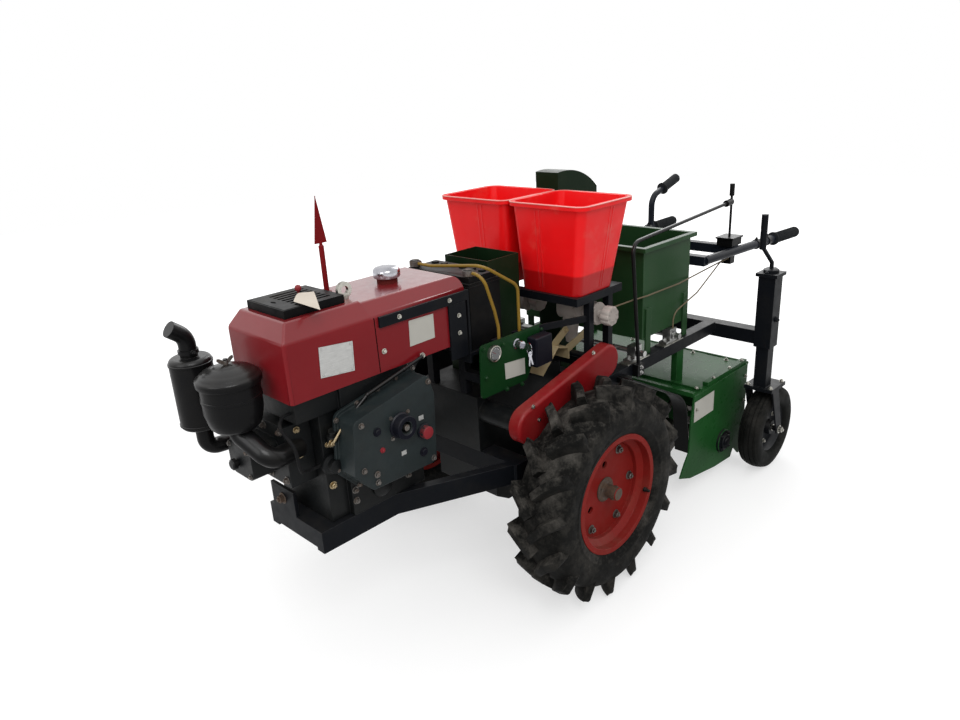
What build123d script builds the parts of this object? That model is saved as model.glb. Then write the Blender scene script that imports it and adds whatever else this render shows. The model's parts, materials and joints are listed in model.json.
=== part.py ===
from build123d import *
from math import asin, atan2, cos, degrees, hypot, radians, sin, sqrt
import os

# A walk-behind potato planter: a single-cylinder diesel on a two-wheel chassis, with two
# fertilizer hoppers, a seed hopper and its elevator, a tiller, and two height-adjusted tail wheels.
# Millimetres. +X runs forward, +Y to the driver's left, +Z up. The origin is on the ground under
# the middle of the whole machine.

os.makedirs("parts", exist_ok=True)

# Places along the machine
axle_x = 294.15
overrun = 5
seat_gap = 0.3

# Drive wheels
wheel_r = 320
wheel_y = 395
tyre_w = 165
tyre_carcass_r = 291
tyre_shoulder_r = 274
tyre_shoulder_w = 132
tyre_bulge_r = 236
tyre_bead_r = 168
tyre_wall = 14
tyre_sides = 24
lug_count = 16
lug_w = 25
lug_angle = 42
lug_root_r = 254
lug_overlap = 6
rim_w = 140
rim_flange_r = 178
rim_flange_t = 6
rim_seat_w = 84
rim_well_r = 150
rim_well_w = 60
rim_wall = 6
disc_t = 8
disc_y = 12
disc_hole_r = 11
disc_hole_circle_r = 78
disc_hole_count = 3
hub_r = 34
hub_gap = 6
stub_r = 19
stub_proud = 48
axle_r = 21
axle_depth = 70

# Gearbox between the wheels
box_rear_x = -170
box_front_x = 205
box_half_w = 125
box_top_z = 600
box_low_z = 222
box_step_x = 145
axle_tube_r = 52
axle_tube_end_y = 300
axle_flange_r = 78
axle_flange_t = 16
clutch_x = 60
clutch_z = 535

# Engine frame
rail_low_z = 370
rail_h = 60
rail_w = 30
rail_y = 103
rail_bend_x = 516
rail_rear_y = 240
cross_w = 58
cross_half_y = 262
channel_front_x = 751
channel_w = 60
channel_half_y = 118
channel_raise = 8
channel_wall = 7
hitch_plate_t = 10
hitch_low_y = -97
hitch_high_y = 8
hitch_top_z = 500
hitch_hole_r = 9
hitch_hole_y = -44
hitch_hole_z = 468

# Engine
block_rear_x = 415
block_mid_x = 650
block_front_x = 705
block_right_y = -130
block_left_y = 118
block_shoulder_z = 700
block_top_z = 781
block_slope_x = 28
block_wall = 12
barrel_left_y = 100
barrel_right_y = -118
barrel_top_z = 722
hose_r = 4
hose_bend_r = 32
hose_points = (
    (768, 84, 745), (812, 84, 745), (800, 142, 690), (796, 146, 625), (748, 92, 590), (block_front_x, 92, 590),
)
seat_left_y = 108
seat_right_y = -92
seat_front_x = 768
cover_t = 72
cover_points = ((683, 576), (670, 714), (542, 739), (436, 762), (418, 704), (427, 516), (634, 522))
cover_fillet = 16
cover_lip = 9
cover_lip_t = 10
crank_boss_x = 536
crank_boss_z = 660
crank_boss_r = 29
crank_boss_len = 26
crank_hole_r = 15
oil_cap_x = 465
oil_cap_z = 617
oil_cap_r = 17
oil_cap_len = 20
head_front_x = 778
head_left_y = 60
head_right_y = -112
head_low_z = 545
head_top_z = 705
valve_front_x = 852
valve_left_y = 26
valve_right_y = -82
valve_low_z = 580
valve_top_z = 668
valve_fillet = 22

# Radiator hood and fuel tank
hood_left_y = 130
hood_right_y = -115
hood_front_x = 785
hood_top_z = 965
hood_band_z = 923
hood_inset = 26
cowl_wall = 5
hood_seam_low_x = 502
hood_seam_top_x = 556
tank_rear_x = 232
tank_top_z = 960
tank_band_z = 922
tank_rear_fillet = 55
tank_top_fillet = 24
grille_x = 665
grille_y = 8
grille_len = 162
grille_w = 160
grille_h = 20
slot_count = 7
slot_w = 9
slot_len = 118
slot_pitch = 18
slot_depth = 9
cap_x = 388
cap_y = 5
cap_neck_r = 26
cap_neck_h = 14
cap_r = 31
cap_h = 20
marker_x = 571
marker_y = 0
marker_rod_r = 4
marker_head_z = 1095
marker_tip_z = 1206
marker_head_w = 34
marker_t = 3
marker_base_r = 12
marker_base_h = 12
eye_x = 562
eye_y = 58
eye_r = 15
eye_wire_r = 5
eye_rise = 17
bracket_t = 7
bracket_bar_h = 27
bracket_front_x = 525
bracket_plate_y = 60
bracket_low_z = 715
tray_rear_x = 88
tray_half_y = 138
tray_z = 735
tray_t = 10
leg_w = 25
leg_y = 68
leg_x = 178
panel_arm_z = 645

# Air filter and muffler
filter_x = 862
filter_y = 10
filter_r = 66
filter_brim_r = 71
filter_low_z = 728
filter_waist_z = 775
filter_low_r = 44
filter_brim_z = 838
filter_brim_h = 14
filter_top_z = 876
filter_crown_r = 22
filter_nut_r = 5
filter_nut_h = 16
filter_pipe_r = 24
filter_elbow_r = 30
intake_x = 742
intake_z = 640
intake_neck_z = 712
intake_knee_x = 835
intake_knee_y = 92
intake_knee_z = 655
muffler_x = 884
muffler_y = -122
muffler_r = 49
muffler_low_z = 700
muffler_top_z = 876
muffler_fillet = 12
muffler_pipe_r = 20
muffler_stack_h = 48
muffler_elbow_r = 40
muffler_elbow_angle = 52
muffler_mouth = 44
port_r = 27
port_y = -103
port_z = 640

# Flywheel, belts and clutch pulley, on the right
crank_x = 530
crank_z = 600
flywheel_r = 178
flywheel_y = -148
flywheel_w = 68
flywheel_web = 26
flywheel_rim = 34
flywheel_hub_r = 40
pulley_r = 82
pulley_w = 62
clutch_pulley_r = 98
belt_count = 3
belt_w = 15
belt_t = 10
belt_pitch = 18
crank_shaft_r = 26
clutch_shaft_r = 24

# Seed drive chain case, on the left
case_front_x = 170
case_front_z = 548
case_rear_x = -190
case_rear_z = 626
case_r = 52
case_t = 40
wheel_clearance = 16.5
case_y = wheel_y - tyre_w / 2 - wheel_clearance - case_t
case_clearance = 4
case_fillet = 10
case_hub_r = 32

# Control panel, battery and tool box
panel_y = 176
panel_t = 5
panel_points = ((242, 622), (237, 774), (-25, 772), (-25, 742), (55, 620))
panel_fillet = 12
gauge_x = 190
gauge_z = 742
gauge_r = 21
gauge_t = 10
key_x = 95
key_z = 742
key_r = 11
key_t = 24
relay_x = 15
relay_z = 706
relay_w = 66
relay_h = 82
relay_t = 34
socket_xs = (60, 145)
socket_w = 30
socket_depth = 26
socket_top_z = 765
battery_rear_x = 94
battery_front_x = 214
battery_half_y = 128
battery_top_z = 930
battery_lid_h = 16
battery_lid_inset = 6
terminal_x = 194
terminal_y = 108
terminal_r = 13
terminal_h = 20
lead_r = 4.5
lead_bend_r = 36
lead_drop = 9
lead_z = battery_top_z + battery_lid_h + terminal_h - lead_drop
lead_end_y = panel_y - socket_depth / 2
far_lead = (
    (terminal_x, terminal_r - terminal_y, lead_z), (terminal_x, -40, lead_z), (168, 40, 962), (168, 136, 974),
    (socket_xs[0], lead_end_y, 900), (socket_xs[0], lead_end_y, socket_top_z),
)
near_lead = (
    (terminal_x, terminal_y + terminal_r, lead_z), (terminal_x, 161, lead_z), (160, 166, 850),
    (socket_xs[1], lead_end_y, 800), (socket_xs[1], lead_end_y, socket_top_z),
)
toolbox_rear_x = -52
toolbox_front_x = 80
toolbox_right_y = -105
toolbox_left_y = 70
toolbox_low_z = 705
toolbox_top_z = 960
sheet_t = 3
toolbox_leg_w = 30

# Fertilizer hoppers, their stand and metering units
bin_front_x = -75
bin_rear_x = -335
bin_inner_y = 1
bin_outer_y = 289
bin_top_z = 1100
bin_low_z = 836
bin_low_front_x = -103
bin_low_rear_x = -280
bin_low_inner_y = 30
bin_low_outer_y = 246
bin_wall = 4
bin_rim_w = 11
bin_rim_h = 12
bin_corner_r = 26
bin_outlet_r = 24
stand_front_x = -92
stand_rear_x = -318
stand_half_y = case_y - case_clearance
stand_bar_w = 26
stand_bar_h = 24
post_w = 22
post_front_x = -165
post_rear_x = -261
carrier_h = 44
meter_x = -212
meter_y = 137
meter_z = 762
meter_r = 33
meter_end = 108
meter_neck_r = 12
knob_start = 128
knob_end = 156
knob_r = 27
meter_throat_w = 64
meter_funnel_top_r = 30
meter_funnel_low_r = 17
meter_funnel_z = 655

# Seed hopper, elevator and opener
seed_front_x = -425
seed_rear_x = -745
seed_half_y = 265
seed_top_z = 920
seed_fold_z = 668
seed_low_z = 615
seed_low_front_x = -500
seed_low_rear_x = -680
seed_low_half_y = 140
seed_wall = 3
seed_rim = 16
seed_rim_h = 14
seed_leg_x = (-470, -704)
seed_leg_w = 30
seed_leg_t = 6
seed_leg_top_z = 716
tower_front_x = -347
tower_rear_x = -419
tower_right_y = -106
tower_left_y = -14
tower_low_z = 300
tower_top_z = 1092
hood_arc_front_z = 1150
elevator_rear_x = -556
elevator_rear_z = 1066
elevator_rear_rise = 18
elevator_bend_x = -440
elevator_floor_z = 1060
bridge_low_z = 690
bridge_top_z = 722
opener_low_z = 36
opener_front_x = -300
opener_rear_x = -425
opener_half_w = 20
opener_toe = 60

# Rear frame
rear_rail_y = 250
rear_rail_w = 40
rear_rail_low_z = 520
rear_rail_h = 40
spreader_w = 40
tower_bar_w = 30
bar_step = 5
bar_x = -925
bar_w = 50
bar_low_z = 505
bar_h = 50
column_y = 452
column_w = 60
column_low_z = 497
column_top_z = 754
column_cap_h = 12
column_cap_w = 76
crank_r = 7
crank_foot_z = 800
crank_offset = 82
crank_knee_z = 868
crank_top_z = 977
crank_grip_r = 11
leg_tube_w = 46
leg_low_z = 346
leg_top_z = 690
shaft_r = 10
shaft_z = 582
shaft_x = (-396, -611)
bearing_len = 84
bearing_w = 30
bearing_h = 40
bearing_foot_h = 12

# Tail wheels
tail_wheel_x = -985
tail_r = 160
tail_w = 80
tail_tread_r = 150
tail_rim_r = 92
tail_rim_w = 52
tail_rim_lip = 6
tail_disc_t = 8
tail_hub_r = 24
tail_pin_r = 10
fork_t = 6
fork_gap = 7
fork_w = 46
fork_end_r = 20
crown_h = 14
crown_rear_x = -1006
crown_front_x = -892

# Tiller
tiller_front_x = -604
tiller_rear_x = -1001
tiller_half_y = 360
tiller_top_z = 385
plate_t = 6
tiller_side_points = (
    (-604, 379), (-588, 300), (-584, 178), (-556, 142), (-529, 98), (-600, 70), (-780, 40),
    (-905, 30), (-925, 62), (-948, 42), (-968, 22), (-1001, 22), (-1001, 379),
)
tiller_rib_h = 16
tiller_rib_w = 22
tiller_lip_h = 10
tiller_lip_w = 14
tiller_lip_pitch = 52
hanger_x = -690
hanger_w = 44
hanger_y = 250
bearing_plate_r = 44
bearing_plate_t = 9
rotor_x = -828
rotor_z = 131
rotor_r = 118
rotor_shaft_r = 24
rotor_half_y = 340
rotor_pin_r = 16
disc_count = 7
tine_count = 4
tine_disc_r = 52
tine_disc_t = 8
tine_w = 26
tine_t = 7
tine_foot = 34
board_hinge_x = -1012
board_hinge_z = 382
board_r = 7
board_pin_r = 3
board_t = 5
board_low_z = 60
board_half_y = 340
knuckle_w = 60
knuckle_y = 220
knuckle_gap = 1
board_gap = 5

# Mud guards
guard_t = 4
guard_inner_y = 300
guard_start = (-232, 566)
guard_corner = (-560, 392)
guard_end = (-592, 172)
guard_fillet = 130
guard_foot_x = -285
guard_foot_z = 536
guard_foot_w = 34
guard_foot_h = 18

# Handlebars
handle_tube_r = 16
handle_front_x = -850
handle_front_y = 240
handle_z = 795
handle_end_x = -1520
handle_end_y = 282
handle_end_z = 788
grip_len = 185
grip_r = 20
grip_flange_r = 26
grip_flange_t = 8
cross_bar_w = 34
rear_cross_x = -1062
stay_y = 80
goose_x = -1312
goose_y = -268
goose_rise = 74
goose_bend_r = 56
goose_len = 30
goose_lift = 16
goose_tube_r = 13
goose_grip_len = 120

# Levers and links
lever_x = -375
lever_y = 250
lever_r = 6
lever_knee_z = 946
lever_end_x = -1052
lever_end_y = 228
lever_end_z = 974
lever_knob_r = 12
lever_knob_len = 44
lever_bend_r = 40
lever_foot_w = 36
lever_foot_t = 20
lever_foot_y = 281
lever_box_x = -1066
lever_box_y = 222
lever_box_len = 74
lever_box_w = 62
lever_box_h = 30
lever_rod_r = 4.5
lever_rod_top_z = 1037
lever_rod_grip_r = 9
lever_rod_grip_len = 44
lever_bracket_len = 34
lever_bracket_w = 36
lever_bracket_h = 36
control_cable_r = 2.5
control_bend_r = 40
cable_end_x = lever_box_x + lever_bracket_len / 2
post_cable = (
    (post_rear_x - post_w / 2, 244, 764), (-300, 244, 764), (-385, 248, 763), (-450, 258, 763),
    (-640, 262, 762), (-1000, lever_box_y + 10, 764), (cable_end_x, lever_box_y + 10, 764),
)
bearing_cable = (
    (cable_end_x, lever_box_y - 8, 752), (-1020, lever_box_y - 8, 752), (-760, 266, 704),
    (shaft_x[1], 262, 664), (shaft_x[1], 262, 612),
)
link_low_z = 750
link_h = 20
link_points = ((-154, 232), (-154, 240), (-5, 181), (-25, 181))


def fore(distance):
    """The X of a place that far forward of the drive axle."""
    return axle_x + distance


def side_plane(y):
    """The upright lengthwise plane at y: sketch x forward, sketch y up, extruded towards the right."""
    return Plane(origin=(0, y, 0), x_dir=(1, 0, 0), z_dir=(0, -1, 0))


def placed(points):
    """Side-view points measured from the axle, as points of the side planes."""
    return [(fore(x), z) for x, z in points]


def rod(start, end, radius):
    """A round bar between two points, added to the part being built."""
    a, b = Vector(*start), Vector(*end)
    with Locations(Plane(origin=a, z_dir=b - a)):
        Cylinder(radius, (b - a).length, align=(Align.CENTER, Align.CENTER, Align.MIN))


def block(x0, x1, y0, y1, z0, z1, mode=Mode.ADD):
    """A box between two corners, added to the part being built."""
    with Locations(((x0 + x1) / 2, (y0 + y1) / 2, (z0 + z1) / 2)):
        Box(abs(x1 - x0), abs(y1 - y0), abs(z1 - z0), mode=mode)


def keep(part, label):
    """Label a finished piece and write it."""
    part.label = label
    export_step(part, f"parts/{label}.step")


def keep_pair(part, name):
    """Write a left-hand piece, and its mirror image as the right-hand one."""
    keep(part, f"{name}_left")
    keep(mirror(part, about=Plane.XZ), f"{name}_right")


# Engine frame: a front channel, two rails that spread to the rear, and a cross member
rail_top_z = rail_low_z + rail_h
channel_rear_x = channel_front_x - channel_w
rail_side = [
    (channel_rear_x + overrun, rail_y - rail_w / 2),
    (channel_rear_x + overrun, rail_y + rail_w / 2),
    (rail_bend_x, rail_y + rail_w / 2),
    (box_front_x - overrun, rail_rear_y + rail_w / 2),
    (box_front_x - overrun, rail_rear_y - rail_w / 2),
    (rail_bend_x, rail_y - rail_w / 2),
]
with BuildPart() as engine_frame:
    with BuildSketch(Plane.XY.offset(rail_low_z)):
        for side in (1, -1):
            with BuildLine():
                Polyline(*[(fore(x), side * y) for x, y in rail_side], close=True)
            make_face()
    extrude(amount=rail_h)
    block(fore(box_step_x), fore(box_step_x + cross_w), -cross_half_y, cross_half_y, rail_low_z, rail_top_z)
    block(fore(channel_rear_x), fore(channel_front_x), -channel_half_y, channel_half_y, rail_low_z, rail_top_z)
    block(
        fore(channel_rear_x + channel_wall), fore(channel_front_x - channel_wall),
        -channel_half_y - overrun, channel_half_y + overrun,
        rail_low_z - overrun, rail_top_z - channel_wall, mode=Mode.SUBTRACT,
    )
    for side in (1, -1):
        block(
            fore(channel_rear_x), fore(channel_front_x),
            side * (rail_y - rail_w / 2), side * channel_half_y, rail_low_z, rail_top_z,
        )
    block(
        fore(channel_rear_x) - overrun, fore(channel_front_x) + overrun,
        -rail_y + rail_w / 2, rail_y - rail_w / 2,
        rail_low_z - overrun, rail_low_z + channel_raise, mode=Mode.SUBTRACT,
    )
    block(
        fore(channel_front_x - hitch_plate_t), fore(channel_front_x),
        hitch_low_y, hitch_high_y, rail_top_z - channel_wall, hitch_top_z,
    )
    with BuildSketch(Plane.YZ.offset(fore(channel_front_x) + overrun)):
        with Locations((hitch_hole_y, hitch_hole_z)):
            Circle(hitch_hole_r)
    extrude(amount=-(hitch_plate_t + 2 * overrun), mode=Mode.SUBTRACT)
keep(engine_frame.part, "engine_frame")

# Gearbox with its two axle tubes; the clutch end stands over the cross member
gearbox_side = [
    (box_step_x, box_low_z + 2 * axle_flange_t), (box_step_x, rail_top_z), (box_front_x, rail_top_z),
    (box_front_x, box_top_z), (box_rear_x, box_top_z), (box_rear_x, rear_rail_low_z),
    (box_rear_x + box_half_w / 2, box_low_z), (box_step_x - axle_tube_r, box_low_z),
]
with BuildPart() as gearbox:
    with BuildSketch(side_plane(box_half_w)):
        with BuildLine():
            Polyline(*placed(gearbox_side), close=True)
        make_face()
    extrude(amount=2 * box_half_w)
    with BuildSketch(side_plane(axle_tube_end_y)):
        with Locations((fore(0), wheel_r)):
            Circle(axle_tube_r)
    extrude(amount=2 * axle_tube_end_y)
    for outer in (axle_tube_end_y, -axle_tube_end_y + axle_flange_t):
        with BuildSketch(side_plane(outer)):
            with Locations((fore(0), wheel_r)):
                Circle(axle_flange_r)
        extrude(amount=axle_flange_t)
    with BuildSketch(side_plane(case_y)):
        with Locations((fore(case_front_x), case_front_z)):
            Circle(case_hub_r)
    extrude(amount=case_y - box_half_w + overrun)
    for outer in (axle_tube_end_y + overrun, -axle_tube_end_y + axle_depth):
        with BuildSketch(side_plane(outer)):
            with Locations((fore(0), wheel_r)):
                Circle(axle_r + seat_gap)
        extrude(amount=axle_depth + overrun, mode=Mode.SUBTRACT)
keep(gearbox.part, "gearbox")

# Engine block: crankcase, the stub of the horizontal barrel and the seat of the hood
crankcase_side = [
    (block_rear_x, rail_top_z), (block_rear_x, block_shoulder_z),
    (block_rear_x + block_slope_x, block_top_z), (block_mid_x, block_top_z), (block_mid_x, rail_top_z),
]
with BuildPart() as engine_block:
    with BuildSketch(side_plane(block_left_y)):
        with BuildLine():
            Polyline(*placed(crankcase_side), close=True)
        make_face()
    extrude(amount=block_left_y - block_right_y)
    block(
        fore(block_mid_x - overrun), fore(block_front_x), barrel_right_y, barrel_left_y, rail_top_z, barrel_top_z,
    )
    block(
        fore(block_mid_x - overrun), fore(seat_front_x), seat_right_y, seat_left_y, barrel_top_z, block_top_z,
    )
    block(
        fore(block_rear_x + block_slope_x + block_wall), fore(block_mid_x - block_wall),
        block_right_y + block_wall, block_left_y - block_wall,
        rail_top_z + block_wall, block_top_z + overrun, mode=Mode.SUBTRACT,
    )
    with BuildSketch(side_plane(block_right_y)):
        with Locations((fore(crank_x), crank_z)):
            Circle(crank_shaft_r)
    extrude(amount=block_right_y - flywheel_y)
keep(engine_block.part, "engine_block")

# Timing gear cover with the starting-crank boss and the oil cap
cover_outer_y = block_left_y + cover_t
with BuildPart() as gear_cover:
    with BuildSketch(side_plane(cover_outer_y)) as cover_face:
        with BuildLine():
            Polyline(*placed(cover_points), close=True)
        make_face()
        fillet(cover_face.vertices(), cover_fillet)
    extrude(amount=cover_t)
    with BuildSketch(side_plane(block_left_y + cover_lip_t)):
        add(cover_face.sketch_local)
        offset(amount=cover_lip)
    extrude(amount=cover_lip_t)
    with BuildSketch(side_plane(cover_outer_y + crank_boss_len)):
        with Locations((fore(crank_boss_x), crank_boss_z)):
            Circle(crank_boss_r)
            Circle(crank_hole_r, mode=Mode.SUBTRACT)
    extrude(amount=crank_boss_len)
    with BuildSketch(side_plane(cover_outer_y + oil_cap_len)):
        with Locations((fore(oil_cap_x), oil_cap_z)):
            Circle(oil_cap_r)
    extrude(amount=oil_cap_len)
keep(gear_cover.part, "gear_cover")

# Cylinder head and valve cover, at the front
with BuildPart() as cylinder_head:
    block(
        fore(block_front_x), fore(head_front_x), head_right_y, head_left_y, head_low_z, head_top_z,
    )
    with BuildSketch(Plane.YZ.offset(fore(head_front_x))) as valve_face:
        with Locations(((valve_left_y + valve_right_y) / 2, (valve_low_z + valve_top_z) / 2)):
            Rectangle(valve_left_y - valve_right_y, valve_top_z - valve_low_z)
        fillet(valve_face.vertices(), valve_fillet)
    extrude(amount=valve_front_x - head_front_x)
keep(cylinder_head.part, "cylinder_head")

# Radiator hood: its banded cross-section, cut by its side view
hood_section = [
    (hood_left_y, block_top_z), (hood_left_y, hood_band_z), (hood_left_y - hood_inset, hood_top_z),
    (hood_right_y + hood_inset, hood_top_z), (hood_right_y, hood_band_z), (hood_right_y, block_top_z),
]
hood_side = [
    (hood_seam_low_x, block_top_z), (hood_seam_top_x, hood_top_z), (hood_front_x - hood_inset, hood_top_z),
    (hood_front_x, hood_band_z), (hood_front_x, block_top_z),
]
with BuildPart() as radiator_hood:
    with BuildSketch(Plane.YZ.offset(fore(hood_seam_low_x) - overrun)):
        with BuildLine():
            Polyline(*hood_section, close=True)
        make_face()
    extrude(amount=hood_front_x - hood_seam_low_x + 2 * overrun)
    with BuildSketch(side_plane(hood_left_y + overrun)):
        with BuildLine():
            Polyline(*placed(hood_side), close=True)
        make_face()
    extrude(amount=hood_left_y - hood_right_y + 2 * overrun, mode=Mode.INTERSECT)
    block(
        fore(hood_seam_top_x + cowl_wall), fore(hood_front_x - cowl_wall),
        hood_right_y + cowl_wall, hood_left_y - cowl_wall,
        block_top_z - overrun, hood_band_z - cowl_wall, mode=Mode.SUBTRACT,
    )
    block(
        fore(hood_seam_top_x + cowl_wall), fore(hood_front_x - hood_inset - cowl_wall),
        hood_right_y + hood_inset + cowl_wall, hood_left_y - hood_inset - cowl_wall,
        block_top_z - overrun, hood_top_z - cowl_wall, mode=Mode.SUBTRACT,
    )
keep(radiator_hood.part, "radiator_hood")

# Radiator grille: a louvred plate on the hood
with BuildPart() as radiator_grille:
    block(
        fore(grille_x - grille_len / 2), fore(grille_x + grille_len / 2),
        grille_y - grille_w / 2, grille_y + grille_w / 2, hood_top_z, hood_top_z + grille_h,
    )
    with Locations((fore(grille_x), grille_y, hood_top_z + grille_h)):
        with GridLocations(0, slot_pitch, 1, slot_count):
            Box(slot_len, slot_w, 2 * slot_depth, mode=Mode.SUBTRACT)
keep(radiator_grille.part, "radiator_grille")

# Fuel tank behind the hood
tank_section = [
    (hood_left_y, block_top_z), (hood_left_y, tank_band_z), (hood_left_y - hood_inset, tank_top_z),
    (hood_right_y + hood_inset, tank_top_z), (hood_right_y, tank_band_z), (hood_right_y, block_top_z),
]
seam_share = (tank_top_z - block_top_z) / (hood_top_z - block_top_z)
tank_seam_top_x = hood_seam_low_x + seam_share * (hood_seam_top_x - hood_seam_low_x)
tank_side = [
    (hood_seam_low_x, block_top_z), (tank_seam_top_x, tank_top_z),
    (tank_rear_x, tank_top_z), (tank_rear_x, block_top_z),
]
with BuildPart() as fuel_tank:
    with BuildSketch(Plane.YZ.offset(fore(tank_rear_x) - overrun)):
        with BuildLine():
            Polyline(*tank_section, close=True)
        make_face()
    extrude(amount=hood_seam_top_x - tank_rear_x + 2 * overrun)
    with BuildSketch(side_plane(hood_left_y + overrun)) as tank_face:
        with BuildLine():
            Polyline(*placed(tank_side), close=True)
        make_face()
        rear_corners = tank_face.vertices().group_by(Axis.X)[0].sort_by(Axis.Y)
        fillet(rear_corners[0], tank_rear_fillet)
        fillet(tank_face.vertices().group_by(Axis.X)[0].sort_by(Axis.Y)[-1], tank_top_fillet)
    extrude(amount=hood_left_y - hood_right_y + 2 * overrun, mode=Mode.INTERSECT)
    for rear_x, margin, low_z, high_z in (
        (tank_rear_x + cowl_wall, 0, block_top_z + tank_rear_fillet, tank_band_z),
        (tank_rear_x + tank_rear_fillet, 0, block_top_z + cowl_wall, tank_band_z),
        (tank_rear_x + hood_inset, hood_inset, block_top_z + tank_rear_fillet, tank_top_z),
    ):
        block(
            fore(rear_x), fore(tank_seam_top_x) + overrun,
            hood_right_y + margin + cowl_wall, hood_left_y - margin - cowl_wall,
            low_z, high_z - cowl_wall, mode=Mode.SUBTRACT,
        )
keep(fuel_tank.part, "fuel_tank")

# Filler neck and cap
with BuildPart() as fuel_cap:
    with BuildSketch(Plane.XY.offset(tank_top_z)):
        with Locations((fore(cap_x), cap_y)):
            Circle(cap_neck_r)
    extrude(amount=cap_neck_h)
    with BuildSketch(Plane.XY.offset(tank_top_z + cap_neck_h)):
        with Locations((fore(cap_x), cap_y)):
            Circle(cap_r)
    extrude(amount=cap_h)
keep(fuel_cap.part, "fuel_cap")

# Water level marker: a float rod with a flat arrow
with BuildPart() as level_marker:
    with BuildSketch(Plane.XY.offset(hood_top_z)):
        with Locations((fore(marker_x), marker_y)):
            Circle(marker_base_r)
    extrude(amount=marker_base_h)
    rod((fore(marker_x), marker_y, hood_top_z), (fore(marker_x), marker_y, marker_head_z + overrun), marker_rod_r)
    with BuildSketch(side_plane(marker_y + marker_t / 2)):
        with BuildLine():
            Polyline(
                (fore(marker_x) - marker_head_w / 2, marker_head_z),
                (fore(marker_x), marker_tip_z),
                (fore(marker_x) + marker_head_w / 2, marker_head_z),
                close=True,
            )
        make_face()
    extrude(amount=marker_t)
keep(level_marker.part, "level_marker")

# Lifting eye
with BuildPart() as lifting_eye:
    with BuildSketch(Plane.XY.offset(hood_top_z)):
        with Locations((fore(eye_x), eye_y)):
            Circle(2 * eye_wire_r)
    extrude(amount=eye_rise - eye_r + eye_wire_r)
    with BuildSketch(side_plane(eye_y + eye_wire_r)):
        with Locations((fore(eye_x), hood_top_z + eye_rise + eye_wire_r)):
            Circle(eye_r + eye_wire_r)
            Circle(eye_r - eye_wire_r, mode=Mode.SUBTRACT)
    extrude(amount=2 * eye_wire_r)
keep(lifting_eye.part, "lifting_eye")

# Tank bracket: a bar along the tank, an upright behind it, the battery tray and its two legs
bracket_out_y = hood_left_y + bracket_t
bracket_top_z = tank_band_z
with BuildPart() as tank_bracket:
    block(
        fore(tank_rear_x - bracket_t), fore(bracket_front_x), hood_left_y, bracket_out_y,
        bracket_top_z - bracket_bar_h, bracket_top_z,
    )
    block(
        fore(tank_rear_x - bracket_t), fore(tank_rear_x), bracket_plate_y, bracket_out_y,
        bracket_low_z, bracket_top_z,
    )
    block(
        fore(tray_rear_x), fore(tank_rear_x), -tray_half_y, tray_half_y, tray_z, tray_z + tray_t,
    )
    for side in (1, -1):
        block(
            fore(leg_x), fore(leg_x + leg_w), side * leg_y - leg_w / 2, side * leg_y + leg_w / 2,
            box_top_z, tray_z,
        )
    block(fore(leg_x), fore(leg_x + leg_w), leg_y, panel_y, panel_arm_z, panel_arm_z + leg_w)
keep(tank_bracket.part, "tank_bracket")

# Oil-bath air filter: bowl, brim and domed lid, with its elbow to the head
with BuildPart() as air_filter:
    with BuildSketch(side_plane(filter_y)):
        with BuildLine():
            Polyline(
                (fore(filter_x), filter_low_z), (fore(filter_x) + filter_low_r, filter_low_z),
                (fore(filter_x) + filter_r, filter_waist_z), (fore(filter_x) + filter_r, filter_brim_z),
                (fore(filter_x) + filter_brim_r, filter_brim_z),
                (fore(filter_x) + filter_brim_r, filter_brim_z + filter_brim_h),
                (fore(filter_x) + filter_crown_r, filter_top_z),
                (fore(filter_x) + filter_nut_r, filter_top_z),
                (fore(filter_x) + filter_nut_r, filter_top_z + filter_nut_h),
                (fore(filter_x), filter_top_z + filter_nut_h), close=True,
            )
        make_face()
    revolve(axis=Axis((fore(filter_x), filter_y, 0), (0, 0, 1)), revolution_arc=360)
    with BuildLine() as intake_route:
        FilletPolyline(
            (fore(filter_x), filter_y, filter_low_z + overrun),
            (fore(filter_x), filter_y, intake_neck_z),
            (fore(intake_knee_x), intake_knee_y, intake_knee_z),
            (fore(intake_x), head_left_y - overrun, intake_z),
            radius=filter_elbow_r,
        )
    with BuildSketch(Plane(origin=intake_route.line @ 0, z_dir=intake_route.line % 0)):
        Circle(filter_pipe_r)
    sweep(path=intake_route.line)
    block(
        fore(block_front_x), fore(head_front_x), head_right_y, head_left_y, head_low_z, head_top_z,
        mode=Mode.SUBTRACT,
    )
    with BuildSketch(Plane.XY.offset(filter_waist_z)):
        with Locations((fore(filter_x), filter_y)):
            Circle(filter_r - sheet_t)
    extrude(amount=filter_brim_z - filter_waist_z, mode=Mode.SUBTRACT)
keep(air_filter.part, "air_filter")

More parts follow.
